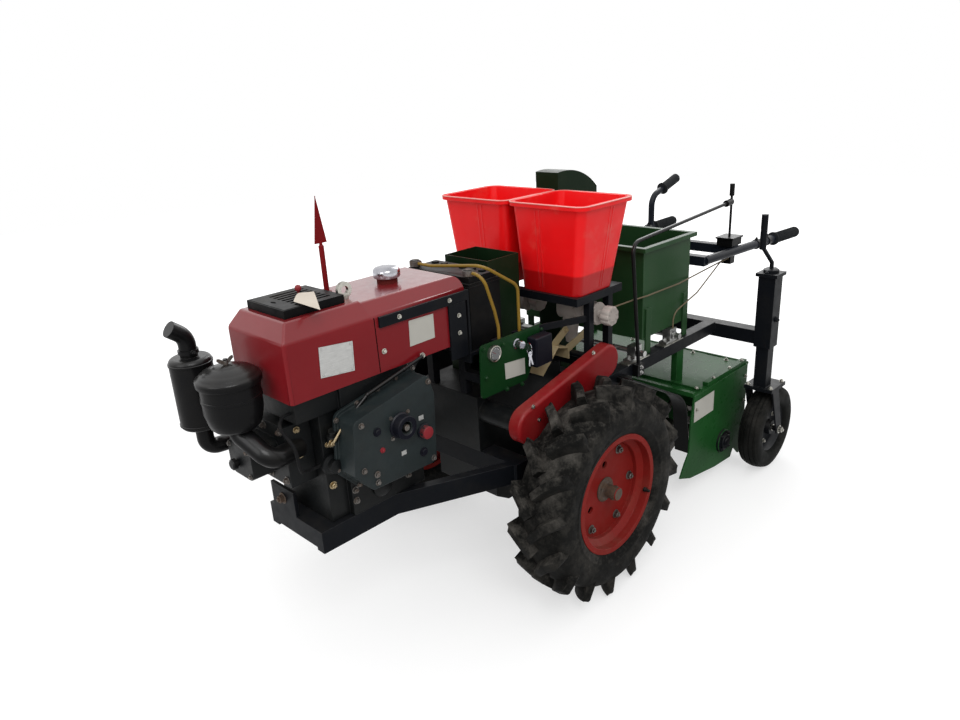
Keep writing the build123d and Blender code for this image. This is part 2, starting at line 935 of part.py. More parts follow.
# Muffler: canister, stack with its turned mouth, and the elbow from the exhaust port
with BuildPart() as muffler:
    with BuildSketch(Plane.XY.offset(muffler_low_z)):
        with Locations((fore(muffler_x), muffler_y)):
            Circle(muffler_r)
    extrude(amount=muffler_top_z - muffler_low_z)
    fillet(muffler.edges().filter_by(GeomType.CIRCLE), muffler_fillet)
    with BuildSketch(Plane.XY.offset(muffler_low_z + muffler_fillet)):
        with Locations((fore(muffler_x), muffler_y)):
            Circle(muffler_r - sheet_t)
    extrude(amount=muffler_top_z - muffler_low_z - 2 * muffler_fillet, mode=Mode.SUBTRACT)
    stack_knee_z = muffler_top_z + muffler_stack_h
    with BuildLine() as stack_route:
        FilletPolyline(
            (fore(muffler_x), muffler_y, muffler_top_z - muffler_fillet),
            (fore(muffler_x), muffler_y, stack_knee_z),
            (
                fore(muffler_x) + muffler_mouth * sin(radians(muffler_elbow_angle)), muffler_y,
                stack_knee_z + muffler_mouth * cos(radians(muffler_elbow_angle)),
            ),
            radius=muffler_elbow_r,
        )
    with BuildSketch(Plane(origin=stack_route.line @ 0, z_dir=(0, 0, 1))):
        Circle(muffler_pipe_r)
    sweep(path=stack_route.line)
    with BuildLine() as port_route:
        FilletPolyline(
            (fore(muffler_x), muffler_y, muffler_low_z + muffler_fillet),
            (fore(muffler_x), muffler_y, port_z),
            (fore(head_front_x - overrun), port_y, port_z),
            radius=port_r,
        )
    with BuildSketch(Plane(origin=port_route.line @ 0, z_dir=(0, 0, -1))):
        Circle(muffler_pipe_r)
    sweep(path=port_route.line)
    block(
        fore(block_front_x), fore(head_front_x), head_right_y, head_left_y, head_low_z, head_top_z,
        mode=Mode.SUBTRACT,
    )
keep(muffler.part, "muffler")

# Flywheel with its belt pulley, on the crankshaft's right end
with BuildPart() as flywheel:
    flywheel_outer_y = flywheel_y - flywheel_w
    with BuildSketch(side_plane(flywheel_y)):
        with Locations((fore(crank_x), crank_z)):
            Circle(flywheel_r)
    extrude(amount=flywheel_w)
    with BuildSketch(side_plane(flywheel_outer_y + flywheel_w - flywheel_web)):
        with Locations((fore(crank_x), crank_z)):
            Circle(flywheel_r - flywheel_rim)
            Circle(flywheel_hub_r, mode=Mode.SUBTRACT)
    extrude(amount=flywheel_w, mode=Mode.SUBTRACT)
    with BuildSketch(side_plane(flywheel_y - flywheel_web)):
        with Locations((fore(crank_x), crank_z)):
            Circle(flywheel_hub_r)
    extrude(amount=flywheel_w - flywheel_web)
    with BuildSketch(side_plane(flywheel_outer_y)):
        with Locations((fore(crank_x), crank_z)):
            Circle(pulley_r)
    extrude(amount=pulley_w)
keep(flywheel.part, "flywheel")

# Clutch pulley on the gearbox input
belt_inner_y = flywheel_y - flywheel_w
with BuildPart() as clutch_pulley:
    with BuildSketch(side_plane(belt_inner_y)):
        with Locations((fore(clutch_x), clutch_z)):
            Circle(clutch_pulley_r)
    extrude(amount=pulley_w)
    with BuildSketch(side_plane(-box_half_w)):
        with Locations((fore(clutch_x), clutch_z)):
            Circle(clutch_shaft_r)
    extrude(amount=-box_half_w - belt_inner_y)
keep(clutch_pulley.part, "clutch_pulley")

# Drive belts, side by side round both pulleys
with BuildPart() as drive_belts:
    for index in range(belt_count):
        belt_y = belt_inner_y - pulley_w / 2 - (index - (belt_count - 1) / 2) * belt_pitch + belt_w / 2
        with BuildSketch(side_plane(belt_y)):
            for grow, mode in ((belt_t, Mode.ADD), (0, Mode.SUBTRACT)):
                near = Pos(fore(clutch_x), clutch_z) * Circle(clutch_pulley_r + grow, mode=Mode.PRIVATE)
                far = Pos(fore(crank_x), crank_z) * Circle(pulley_r + grow, mode=Mode.PRIVATE)
                add(make_hull((near + far).edges(), mode=Mode.PRIVATE), mode=mode)
        extrude(amount=belt_w)
keep(drive_belts.part, "drive_belts")

# Chain case of the seed drive: a round-ended box that climbs to the rear
case_run = hypot(case_front_x - case_rear_x, case_front_z - case_rear_z)
case_lean = degrees(atan2(case_front_z - case_rear_z, case_front_x - case_rear_x))
with BuildPart() as chain_case:
    with BuildSketch(side_plane(case_y + case_t)):
        with Locations(
            Location(
                ((fore(case_front_x) + fore(case_rear_x)) / 2, (case_front_z + case_rear_z) / 2), case_lean
            )
        ):
            SlotCenterToCenter(case_run, 2 * case_r)
    extrude(amount=case_t)
    fillet(chain_case.faces().sort_by(Axis.Y)[-1].edges(), case_fillet)
keep(chain_case.part, "chain_case")

# Control panel with a gauge, a key switch and a relay
with BuildPart() as control_panel:
    with BuildSketch(side_plane(panel_y + panel_t)) as panel_face:
        with BuildLine():
            Polyline(*placed(panel_points), close=True)
        make_face()
        fillet(panel_face.vertices(), panel_fillet)
    extrude(amount=panel_t)
    for x, z, radius, depth in ((gauge_x, gauge_z, gauge_r, gauge_t), (key_x, key_z, key_r, key_t)):
        with BuildSketch(side_plane(panel_y + panel_t + depth)):
            with Locations((fore(x), z)):
                Circle(radius)
        extrude(amount=depth)
    block(
        fore(relay_x - relay_w / 2), fore(relay_x + relay_w / 2), panel_y + panel_t, panel_y + panel_t + relay_t,
        relay_z - relay_h / 2, relay_z + relay_h / 2,
    )
    for socket_x in socket_xs:
        block(
            fore(socket_x - socket_w / 2), fore(socket_x + socket_w / 2), panel_y - socket_depth, panel_y,
            socket_top_z - socket_w, socket_top_z,
        )
keep(control_panel.part, "control_panel")

# Battery on its tray
battery_low_z = tray_z + tray_t
with BuildPart() as battery:
    block(
        fore(battery_rear_x), fore(battery_front_x), -battery_half_y, battery_half_y, battery_low_z, battery_top_z,
    )
    block(
        fore(battery_rear_x + battery_lid_inset), fore(battery_front_x - battery_lid_inset),
        -battery_half_y + battery_lid_inset, battery_half_y - battery_lid_inset,
        battery_top_z, battery_top_z + battery_lid_h,
    )
    for side in (1, -1):
        with BuildSketch(Plane.XY.offset(battery_top_z + battery_lid_h)):
            with Locations((fore(terminal_x), side * terminal_y)):
                Circle(terminal_r)
        extrude(amount=terminal_h)
keep(battery.part, "battery")

# Battery leads, from each terminal round to its socket behind the panel
with BuildPart() as battery_leads:
    for route in (far_lead, near_lead):
        with BuildLine() as lead_route:
            FilletPolyline(*[(fore(x), y, z) for x, y, z in route], radius=lead_bend_r)
        with BuildSketch(Plane(origin=lead_route.line @ 0, z_dir=lead_route.line % 0)):
            Circle(lead_r)
        sweep(path=lead_route.line)
keep(battery_leads.part, "battery_leads")

# Tool box, open on top, on two legs from the gearbox
with BuildPart() as tool_box:
    block(
        fore(toolbox_rear_x), fore(toolbox_front_x), toolbox_right_y, toolbox_left_y, toolbox_low_z, toolbox_top_z,
    )
    block(
        fore(toolbox_rear_x + sheet_t), fore(toolbox_front_x - sheet_t),
        toolbox_right_y + sheet_t, toolbox_left_y - sheet_t,
        toolbox_low_z + sheet_t, toolbox_top_z + overrun, mode=Mode.SUBTRACT,
    )
    for leg_side_y in (toolbox_right_y, toolbox_left_y - toolbox_leg_w):
        block(
            fore(toolbox_rear_x), fore(toolbox_front_x), leg_side_y, leg_side_y + toolbox_leg_w,
            box_top_z, toolbox_low_z + sheet_t,
        )
keep(tool_box.part, "tool_box")

# Stand of the fertilizer hoppers: a ring of bars on four posts
stand_low_z = bin_low_z - stand_bar_h
rail_deck_z = rear_rail_low_z + rear_rail_h
with BuildPart() as hopper_stand:
    block(
        fore(stand_rear_x), fore(stand_front_x), -stand_half_y, stand_half_y, stand_low_z, bin_low_z,
    )
    block(
        fore(stand_rear_x + stand_bar_w), fore(stand_front_x - stand_bar_w),
        -stand_half_y + stand_bar_w, stand_half_y - stand_bar_w,
        stand_low_z - overrun, bin_low_z + overrun, mode=Mode.SUBTRACT,
    )
    for side in (1, -1):
        for post_x in (post_front_x, post_rear_x):
            block(
                fore(post_x - post_w / 2), fore(post_x + post_w / 2),
                side * (stand_half_y - stand_bar_w / 2) - post_w / 2,
                side * (stand_half_y - stand_bar_w / 2) + post_w / 2,
                rail_deck_z, stand_low_z,
            )
        block(
            fore(post_rear_x), fore(post_front_x),
            side * (stand_half_y - stand_bar_w / 2) - post_w / 2,
            side * (stand_half_y - stand_bar_w / 2) + post_w / 2,
            case_rear_z - carrier_h / 2, case_rear_z + carrier_h / 2,
        )
    rod((fore(case_rear_x), -stand_half_y, case_rear_z), (fore(case_rear_x), case_y, case_rear_z), shaft_r)
keep(hopper_stand.part, "hopper_stand")

# Fertilizer hoppers: tapered bins with a rolled rim and an outlet in the floor
with BuildPart() as fertilizer_hopper:
    for grow, low_z, top_z, mode in (
        (0, bin_low_z, bin_top_z, Mode.ADD),
        (-bin_wall, bin_low_z + bin_wall, bin_top_z + seat_gap, Mode.SUBTRACT),
    ):
        with BuildSketch(Plane.XY.offset(low_z)):
            with Locations(
                (fore((bin_low_front_x + bin_low_rear_x) / 2), (bin_low_inner_y + bin_low_outer_y) / 2)
            ):
                RectangleRounded(
                    bin_low_front_x - bin_low_rear_x + 2 * grow, bin_low_outer_y - bin_low_inner_y + 2 * grow,
                    bin_corner_r + grow,
                )
        with BuildSketch(Plane.XY.offset(top_z)):
            with Locations((fore((bin_front_x + bin_rear_x) / 2), (bin_inner_y + bin_outer_y) / 2)):
                RectangleRounded(
                    bin_front_x - bin_rear_x - 2 * bin_rim_w + 2 * grow,
                    bin_outer_y - bin_inner_y - 2 * bin_rim_w + 2 * grow,
                    bin_corner_r + grow,
                )
        loft(mode=mode)
    with BuildSketch(Plane.XY.offset(bin_top_z - bin_rim_h)):
        with Locations((fore((bin_front_x + bin_rear_x) / 2), (bin_inner_y + bin_outer_y) / 2)):
            RectangleRounded(bin_front_x - bin_rear_x, bin_outer_y - bin_inner_y, bin_corner_r + bin_rim_w)
            RectangleRounded(
                bin_front_x - bin_rear_x - 2 * bin_rim_w - 2 * bin_wall,
                bin_outer_y - bin_inner_y - 2 * bin_rim_w - 2 * bin_wall, bin_corner_r - bin_wall,
                mode=Mode.SUBTRACT,
            )
    extrude(amount=bin_rim_h)
    with BuildSketch(Plane.XY.offset(bin_low_z - overrun)):
        with Locations((fore(meter_x), meter_y)):
            Circle(bin_outlet_r)
    extrude(amount=bin_wall + 2 * overrun, mode=Mode.SUBTRACT)
keep_pair(fertilizer_hopper.part, "fertilizer_hopper")

# Metering units: a roller housing, its knob and a funnel under each hopper
meter_centres = (meter_y, -(bin_low_inner_y + bin_low_outer_y) / 2)
with BuildPart() as fertilizer_meters:
    for centre_y in meter_centres:
        block(
            fore(meter_x - meter_throat_w / 2), fore(meter_x + meter_throat_w / 2),
            centre_y - meter_throat_w / 2, centre_y + meter_throat_w / 2, meter_z, bin_low_z,
        )
        for start, end, radius in (
            (-meter_throat_w / 2, meter_end, meter_r),
            (meter_end, knob_start, meter_neck_r),
            (knob_start, knob_end, knob_r),
        ):
            with BuildSketch(side_plane(centre_y + end)):
                with Locations((fore(meter_x), meter_z)):
                    Circle(radius)
            extrude(amount=end - start)
        with BuildSketch(Plane.XY.offset(meter_z)):
            with Locations((fore(meter_x), centre_y)):
                Circle(meter_funnel_top_r)
        with BuildSketch(Plane.XY.offset(meter_funnel_z)):
            with Locations((fore(meter_x), centre_y)):
                Circle(meter_funnel_low_r)
        loft()
keep(fertilizer_meters.part, "fertilizer_meters")

# Seed hopper: an upright bin that narrows below its fold, open on top
with BuildPart() as seed_hopper:
    for grow, rise, mode in ((0, 0, Mode.ADD), (-seed_wall, overrun, Mode.SUBTRACT)):
        with BuildSketch(Plane.XY.offset(seed_fold_z)):
            with Locations((fore((seed_front_x + seed_rear_x) / 2), 0)):
                Rectangle(
                    seed_front_x - seed_rear_x - 2 * seed_rim + 2 * grow, 2 * (seed_half_y - seed_rim + grow)
                )
        extrude(amount=seed_top_z - seed_fold_z + rise, mode=mode)
        with BuildSketch(Plane.XY.offset(seed_fold_z)):
            with Locations((fore((seed_front_x + seed_rear_x) / 2), 0)):
                Rectangle(
                    seed_front_x - seed_rear_x - 2 * seed_rim + 2 * grow, 2 * (seed_half_y - seed_rim + grow)
                )
        with BuildSketch(Plane.XY.offset(seed_low_z - grow)):
            with Locations((fore((seed_low_front_x + seed_low_rear_x) / 2), 0)):
                Rectangle(seed_low_front_x - seed_low_rear_x + 2 * grow, 2 * (seed_low_half_y + grow))
        loft(mode=mode)
    with BuildSketch(Plane.XY.offset(seed_top_z - seed_rim_h)):
        with Locations((fore((seed_front_x + seed_rear_x) / 2), 0)):
            Rectangle(seed_front_x - seed_rear_x, 2 * seed_half_y)
            Rectangle(
                seed_front_x - seed_rear_x - 2 * seed_rim - 2 * seed_wall,
                2 * (seed_half_y - seed_rim - seed_wall), mode=Mode.SUBTRACT,
            )
    extrude(amount=seed_rim_h)
    for side in (1, -1):
        for x in seed_leg_x:
            block(
                fore(x - seed_leg_w / 2), fore(x + seed_leg_w / 2),
                side * (seed_half_y - seed_rim), side * (seed_half_y - seed_rim + seed_leg_t),
                rear_rail_low_z + rear_rail_h, seed_leg_top_z,
            )
keep(seed_hopper.part, "seed_hopper")

# Seed elevator: the drop tube behind the fertilizer hoppers and its curved top cover
with BuildPart() as seed_elevator:
    block(
        fore(tower_rear_x), fore(tower_front_x), tower_right_y, tower_left_y, tower_low_z, tower_top_z,
    )
    block(
        fore(tower_rear_x + sheet_t), fore(tower_front_x - sheet_t),
        tower_right_y + sheet_t, tower_left_y - sheet_t,
        tower_low_z - overrun, tower_top_z + overrun, mode=Mode.SUBTRACT,
    )
    with BuildSketch(side_plane(tower_left_y)) as elevator_side:
        with BuildLine():
            Line((fore(tower_front_x), tower_top_z), (fore(tower_front_x), hood_arc_front_z))
            ThreePointArc(
                (fore(tower_front_x), hood_arc_front_z),
                (fore(elevator_bend_x), hood_arc_front_z - sheet_t),
                (fore(elevator_rear_x), elevator_rear_z + elevator_rear_rise),
            )
            Polyline(
                (fore(elevator_rear_x), elevator_rear_z + elevator_rear_rise),
                (fore(elevator_rear_x), elevator_floor_z),
                (fore(tower_rear_x), elevator_floor_z),
                (fore(tower_rear_x), tower_top_z),
                (fore(tower_front_x), tower_top_z),
            )
        make_face()
    extrude(amount=tower_left_y - tower_right_y)
    with BuildSketch(side_plane(tower_left_y - sheet_t)):
        add(elevator_side.sketch_local)
        offset(amount=-sheet_t)
    extrude(amount=tower_left_y - tower_right_y - 2 * sheet_t, mode=Mode.SUBTRACT)
    with BuildSketch(side_plane(tower_left_y + overrun)):
        with Locations((fore(shaft_x[0]), shaft_z + bearing_foot_h / 2)):
            Circle(shaft_r + seat_gap)
    extrude(amount=tower_left_y - tower_right_y + 2 * overrun, mode=Mode.SUBTRACT)
    block(
        fore(seed_front_x - seed_rim), fore(tower_rear_x),
        tower_right_y + seed_rim, tower_left_y - seed_rim, bridge_low_z, bridge_top_z,
    )
keep(seed_elevator.part, "seed_elevator")

# Furrow opener under the drop tube
tower_mid_y = (tower_right_y + tower_left_y) / 2
with BuildPart() as furrow_opener:
    with BuildSketch(side_plane(tower_mid_y + opener_half_w)):
        with BuildLine():
            Polyline(
                (fore(tower_rear_x), tower_low_z), (fore(tower_front_x), tower_low_z),
                (fore(tower_front_x + opener_toe / 2), tower_low_z / 2),
                (fore(opener_front_x), opener_low_z), (fore(opener_rear_x), opener_low_z), close=True,
            )
        make_face()
    extrude(amount=2 * opener_half_w)
keep(furrow_opener.part, "furrow_opener")

# Rear frame: two rails, a spreader on the gearbox, the tail bar and its two columns with cranks
rail_end_x = bar_x + bar_w / 2
column_bore = leg_tube_w + 2 * seat_gap
with BuildPart() as rear_frame:
    for side in (1, -1):
        block(
            fore(rail_end_x), fore(post_front_x + post_w / 2),
            side * (rear_rail_y - rear_rail_w / 2), side * (rear_rail_y + rear_rail_w / 2),
            rear_rail_low_z, rail_deck_z,
        )
    block(
        fore(box_rear_x - spreader_w), fore(box_rear_x), -rear_rail_y, rear_rail_y, rear_rail_low_z, rail_deck_z,
    )
    block(
        fore(tower_front_x), fore(tower_front_x + tower_bar_w), -rear_rail_y, rear_rail_y,
        rear_rail_low_z + bar_step, rail_deck_z - bar_step,
    )
    block(
        fore(bar_x - bar_w / 2), fore(bar_x + bar_w / 2), -column_y, column_y, bar_low_z, bar_low_z + bar_h,
    )
    for side in (1, -1):
        block(
            fore(bar_x - column_w / 2), fore(bar_x + column_w / 2),
            side * column_y - column_w / 2, side * column_y + column_w / 2, column_low_z, column_top_z,
        )
        block(
            fore(bar_x - column_cap_w / 2), fore(bar_x + column_cap_w / 2),
            side * column_y - column_cap_w / 2, side * column_y + column_cap_w / 2,
            column_top_z, column_top_z + column_cap_h,
        )
        block(
            fore(bar_x) - column_bore / 2, fore(bar_x) + column_bore / 2,
            side * column_y - column_bore / 2, side * column_y + column_bore / 2,
            column_low_z - overrun, column_top_z - overrun, mode=Mode.SUBTRACT,
        )
        rod(
            (fore(bar_x), side * column_y, column_top_z), (fore(bar_x), side * column_y, crank_foot_z), crank_r,
        )
        rod(
            (fore(bar_x), side * column_y, crank_foot_z),
            (fore(bar_x + crank_offset), side * column_y, crank_knee_z), crank_r,
        )
        rod(
            (fore(bar_x + crank_offset), side * column_y, crank_knee_z - crank_r),
            (fore(bar_x + crank_offset), side * column_y, crank_top_z), crank_grip_r,
        )
keep(rear_frame.part, "rear_frame")

# Shafts of the seed drive with their pillow-block bearings on the rails
with BuildPart() as seed_shafts:
    for x in shaft_x:
        with BuildSketch(side_plane(rear_rail_y + rear_rail_w)):
            with Locations((fore(x), shaft_z + bearing_foot_h / 2)):
                Circle(shaft_r)
        extrude(amount=2 * (rear_rail_y + rear_rail_w))
        for side in (1, -1):
            block(
                fore(x - bearing_len / 2), fore(x + bearing_len / 2),
                side * rear_rail_y - bearing_w / 2, side * rear_rail_y + bearing_w / 2,
                rail_deck_z, rail_deck_z + bearing_foot_h,
            )
            block(
                fore(x - bearing_h / 2), fore(x + bearing_h / 2),
                side * rear_rail_y - bearing_w / 2, side * rear_rail_y + bearing_w / 2,
                rail_deck_z, rail_deck_z + bearing_h + bearing_foot_h,
            )
keep(seed_shafts.part, "seed_shafts")

# Tiller deck with ribs, front lips and the two hangers to the rear rails
deck_half_y = tiller_half_y - plate_t
with BuildPart() as tiller_deck:
    block(
        fore(tiller_rear_x), fore(tiller_front_x), -deck_half_y, deck_half_y, tiller_top_z - plate_t, tiller_top_z,
    )
    for rib_y in (-deck_half_y + tiller_rib_w / 2, 0, deck_half_y - tiller_rib_w / 2):
        block(
            fore(tiller_rear_x), fore(tiller_front_x - 2 * tiller_lip_pitch),
            rib_y - tiller_rib_w / 2, rib_y + tiller_rib_w / 2, tiller_top_z, tiller_top_z + tiller_rib_h,
        )
    for row in range(2):
        lip_x = tiller_front_x - row * tiller_lip_pitch
        block(
            fore(lip_x - tiller_lip_w), fore(lip_x), -deck_half_y, deck_half_y,
            tiller_top_z, tiller_top_z + tiller_lip_h,
        )
    for side in (1, -1):
        block(
            fore(hanger_x - hanger_w / 2), fore(hanger_x + hanger_w / 2),
            side * (hanger_y - hanger_w / 2), side * hanger_y,
            tiller_top_z - overrun, rear_rail_low_z,
        )
    knuckle_near_y = knuckle_y - knuckle_w / 2 - knuckle_gap
    knuckle_far_y = knuckle_y + knuckle_w / 2 + knuckle_gap
    for start, end in (
        (knuckle_far_y, deck_half_y), (-knuckle_near_y, knuckle_near_y), (-deck_half_y, -knuckle_far_y),
    ):
        block(
            fore(board_hinge_x), fore(tiller_rear_x) + overrun, start, end, tiller_top_z - plate_t, tiller_top_z,
        )
        with BuildSketch(side_plane(end)):
            with Locations((fore(board_hinge_x), board_hinge_z)):
                Circle(board_r)
        extrude(amount=end - start)
    with BuildSketch(side_plane(board_half_y)):
        with Locations((fore(board_hinge_x), board_hinge_z)):
            Circle(board_pin_r)
    extrude(amount=2 * board_half_y)
keep(tiller_deck.part, "tiller_deck")

# Tiller side plates with the rotor's bearing plates
with BuildPart() as tiller_side:
    with BuildSketch(side_plane(tiller_half_y)):
        with BuildLine():
            Polyline(*placed(tiller_side_points), close=True)
        make_face()
    extrude(amount=plate_t)
    with BuildSketch(side_plane(tiller_half_y)):
        with BuildLine():
            Polyline(
                (fore(tiller_rear_x), tiller_top_z - plate_t), (fore(tiller_front_x), tiller_top_z - plate_t),
                (fore(tiller_front_x), tiller_top_z), (fore(tiller_rear_x), tiller_top_z), close=True,
            )
        make_face()
    extrude(amount=plate_t)
    with BuildSketch(side_plane(tiller_half_y + bearing_plate_t)):
        with Locations((fore(rotor_x), rotor_z)):
            Circle(bearing_plate_r)
    extrude(amount=bearing_plate_t)
    with BuildSketch(side_plane(tiller_half_y + 2 * bearing_plate_t)):
        with Locations((fore(rotor_x), rotor_z)):
            Circle(rotor_pin_r + seat_gap)
    extrude(amount=2 * bearing_plate_t + 2 * plate_t, mode=Mode.SUBTRACT)
keep_pair(tiller_side.part, "tiller_side")

# Tiller rotor: shaft, discs and L-shaped tines
pin_half_y = tiller_half_y + bearing_plate_t
with BuildPart() as tiller_rotor:
    for half_y, radius in ((rotor_half_y, rotor_shaft_r), (pin_half_y, rotor_pin_r)):
        with BuildSketch(side_plane(half_y)):
            with Locations((fore(rotor_x), rotor_z)):
                Circle(radius)
        extrude(amount=2 * half_y)
    disc_pitch = 2 * (rotor_half_y - tine_foot - tine_t) / (disc_count - 1)
    for index in range(disc_count):
        disc_mid_y = (index - (disc_count - 1) / 2) * disc_pitch
        with BuildSketch(side_plane(disc_mid_y + tine_disc_t / 2)):
            with Locations((fore(rotor_x), rotor_z)):
                Circle(tine_disc_r)
        extrude(amount=tine_disc_t)
        turn = 360 / tine_count * index / disc_count
        for tine in range(tine_count):
            angle = radians(turn + tine * 360 / tine_count)
            arm = Vector(cos(angle), 0, sin(angle))
            toe_side = 1 if (tine + index) % 2 else -1
            if index == 0:
                toe_side = 1
            if index == disc_count - 1:
                toe_side = -1
            base = Vector(fore(rotor_x), disc_mid_y, rotor_z)
            plane = Plane(origin=base + arm * rotor_shaft_r, x_dir=(0, 1, 0), z_dir=arm)
            with Locations(plane):
                Box(
                    tine_t, tine_w, rotor_r - rotor_shaft_r - tine_t,
                    align=(Align.CENTER, Align.CENTER, Align.MIN),
                )
            foot = Plane(
                origin=base + arm * (rotor_r - tine_t) + Vector(0, toe_side * tine_foot / 2, 0),
                x_dir=(0, 1, 0), z_dir=arm,
            )
            with Locations(foot):
                Box(tine_foot + tine_t, tine_w, tine_t, align=(Align.CENTER, Align.CENTER, Align.MAX))
keep(tiller_rotor.part, "tiller_rotor")

# Drive wheels: tyre with chevron lugs, and rim with its dished disc, hub and axle stub
wheel_axis = Axis((fore(0), 0, wheel_r), (0, 1, 0))
bead_half_w = rim_w / 2 - rim_flange_t
flange_clear_r = rim_flange_r + seat_gap
tyre_outside = [
    (-bead_half_w, flange_clear_r), (-tyre_w / 2, tyre_bulge_r), (-tyre_shoulder_w / 2, tyre_shoulder_r),
    (0, tyre_carcass_r), (tyre_shoulder_w / 2, tyre_shoulder_r), (tyre_w / 2, tyre_bulge_r),
    (bead_half_w, flange_clear_r),
]
tyre_inside = [
    (tyre_wall - bead_half_w, rim_well_r), (tyre_wall - tyre_w / 2, tyre_bulge_r),
    (tyre_w / 2 - tyre_wall, tyre_bulge_r), (bead_half_w - tyre_wall, rim_well_r),
]
lug_half_y = (tyre_w / 2 + lug_overlap) / 2
lug_slant = radians(lug_angle)
lug_reach = 2 * (lug_half_y - lug_w / 2 * sin(lug_slant)) / cos(lug_slant)
lug_tip = lug_reach / 2 * sin(lug_slant) + lug_w / 2 * cos(lug_slant)
lug_top_r = sqrt(wheel_r ** 2 - lug_tip ** 2)
lug_phase = asin(lug_tip / wheel_r)
with BuildPart() as tyre:
    for sections, mode in ((tyre_outside, Mode.ADD), (tyre_inside, Mode.SUBTRACT)):
        for y, r in sections:
            with BuildSketch(side_plane(wheel_y + y)):
                with Locations((fore(0), wheel_r)):
                    RegularPolygon(r, tyre_sides, major_radius=False, rotation=180 / tyre_sides)
        loft(ruled=True, mode=mode)
    with BuildSketch(side_plane(wheel_y + bead_half_w + overrun)):
        with Locations((fore(0), wheel_r)):
            Circle(tyre_bead_r)
    extrude(amount=2 * bead_half_w + 2 * overrun, mode=Mode.SUBTRACT)
    for side in (1, -1):
        for index in range(lug_count):
            angle = radians(360 / lug_count * (index + (side + 1) / 4)) - lug_phase
            outward = Vector(cos(angle), 0, sin(angle))
            around = Vector(-sin(angle), 0, cos(angle))
            along = Vector(0, side * cos(lug_slant), 0) + around * sin(lug_slant)
            middle = Vector(fore(0), wheel_y + side * (tyre_w / 2 - lug_half_y), wheel_r)
            with Locations(Plane(origin=middle + outward * lug_root_r, x_dir=along, z_dir=outward)):
                Box(lug_reach, lug_w, lug_top_r - lug_root_r, align=(Align.CENTER, Align.CENTER, Align.MIN))
keep_pair(tyre.part, "tyre")

seat_r = tyre_bead_r
rim_outside = [
    (-rim_w / 2, rim_flange_r), (-bead_half_w, rim_flange_r), (-bead_half_w, seat_r),
    (-rim_seat_w / 2, seat_r), (-rim_well_w / 2, rim_well_r), (rim_well_w / 2, rim_well_r),
    (rim_seat_w / 2, seat_r), (bead_half_w, seat_r), (bead_half_w, rim_flange_r), (rim_w / 2, rim_flange_r),
]
rim_inside = [
    (rim_w / 2, seat_r - rim_wall), (rim_seat_w / 2 + rim_wall / 2, seat_r - rim_wall),
    (rim_well_w / 2 + rim_wall / 2, rim_well_r - rim_wall),
    (-rim_well_w / 2 - rim_wall / 2, rim_well_r - rim_wall),
    (-rim_seat_w / 2 - rim_wall / 2, seat_r - rim_wall), (-rim_w / 2, seat_r - rim_wall),
]
disc_outer_y = wheel_y + disc_y + disc_t
with BuildPart() as rim:
    with BuildSketch(Plane.YZ.offset(fore(0))):
        with BuildLine():
            Polyline(*[(wheel_y + y, wheel_r + r) for y, r in rim_outside + rim_inside], close=True)
        make_face()
    revolve(axis=wheel_axis, revolution_arc=360)
    with BuildSketch(side_plane(disc_outer_y)):
        with Locations((fore(0), wheel_r)):
            Circle(rim_well_r - rim_wall / 2)
            with PolarLocations(disc_hole_circle_r, disc_hole_count, start_angle=90):
                Circle(disc_hole_r, mode=Mode.SUBTRACT)
    extrude(amount=disc_t)
    for start, end, radius in (
        (axle_tube_end_y + hub_gap, wheel_y + disc_y + disc_t / 2, hub_r),
        (axle_tube_end_y - axle_depth + overrun, wheel_y, axle_r),
        (wheel_y, disc_outer_y + stub_proud, stub_r),
    ):
        with BuildSketch(side_plane(end)):
            with Locations((fore(0), wheel_r)):
                Circle(radius)
        extrude(amount=end - start)
keep_pair(rim.part, "rim")

# Tail legs: a square tube that slides in its column, a crown, two arms and the wheel pin
arm_inner_y = tail_w / 2 + fork_gap
arm_outer_y = arm_inner_y + fork_t
crown_low_z = leg_low_z - crown_h
with BuildPart() as tail_leg:
    block(
        fore(bar_x - leg_tube_w / 2), fore(bar_x + leg_tube_w / 2),
        column_y - leg_tube_w / 2, column_y + leg_tube_w / 2, crown_low_z, leg_top_z,
    )
    block(
        fore(crown_rear_x), fore(crown_front_x), column_y - arm_outer_y, column_y + arm_outer_y,
        crown_low_z, leg_low_z,
    )
    for outer_y in (column_y + arm_outer_y, column_y - arm_inner_y):
        with BuildSketch(side_plane(outer_y)):
            foot = Pos(fore(tail_wheel_x), tail_r) * Circle(fork_end_r, mode=Mode.PRIVATE)
            head = Pos(fore(bar_x), crown_low_z + crown_h / 2) * Rectangle(fork_w, crown_h, mode=Mode.PRIVATE)
            make_hull((foot + head).edges())
        extrude(amount=fork_t)
    with BuildSketch(side_plane(column_y + arm_outer_y + fork_gap)):
        with Locations((fore(tail_wheel_x), tail_r)):
            Circle(tail_pin_r)
    extrude(amount=2 * arm_outer_y + 2 * fork_gap)
keep_pair(tail_leg.part, "tail_leg")

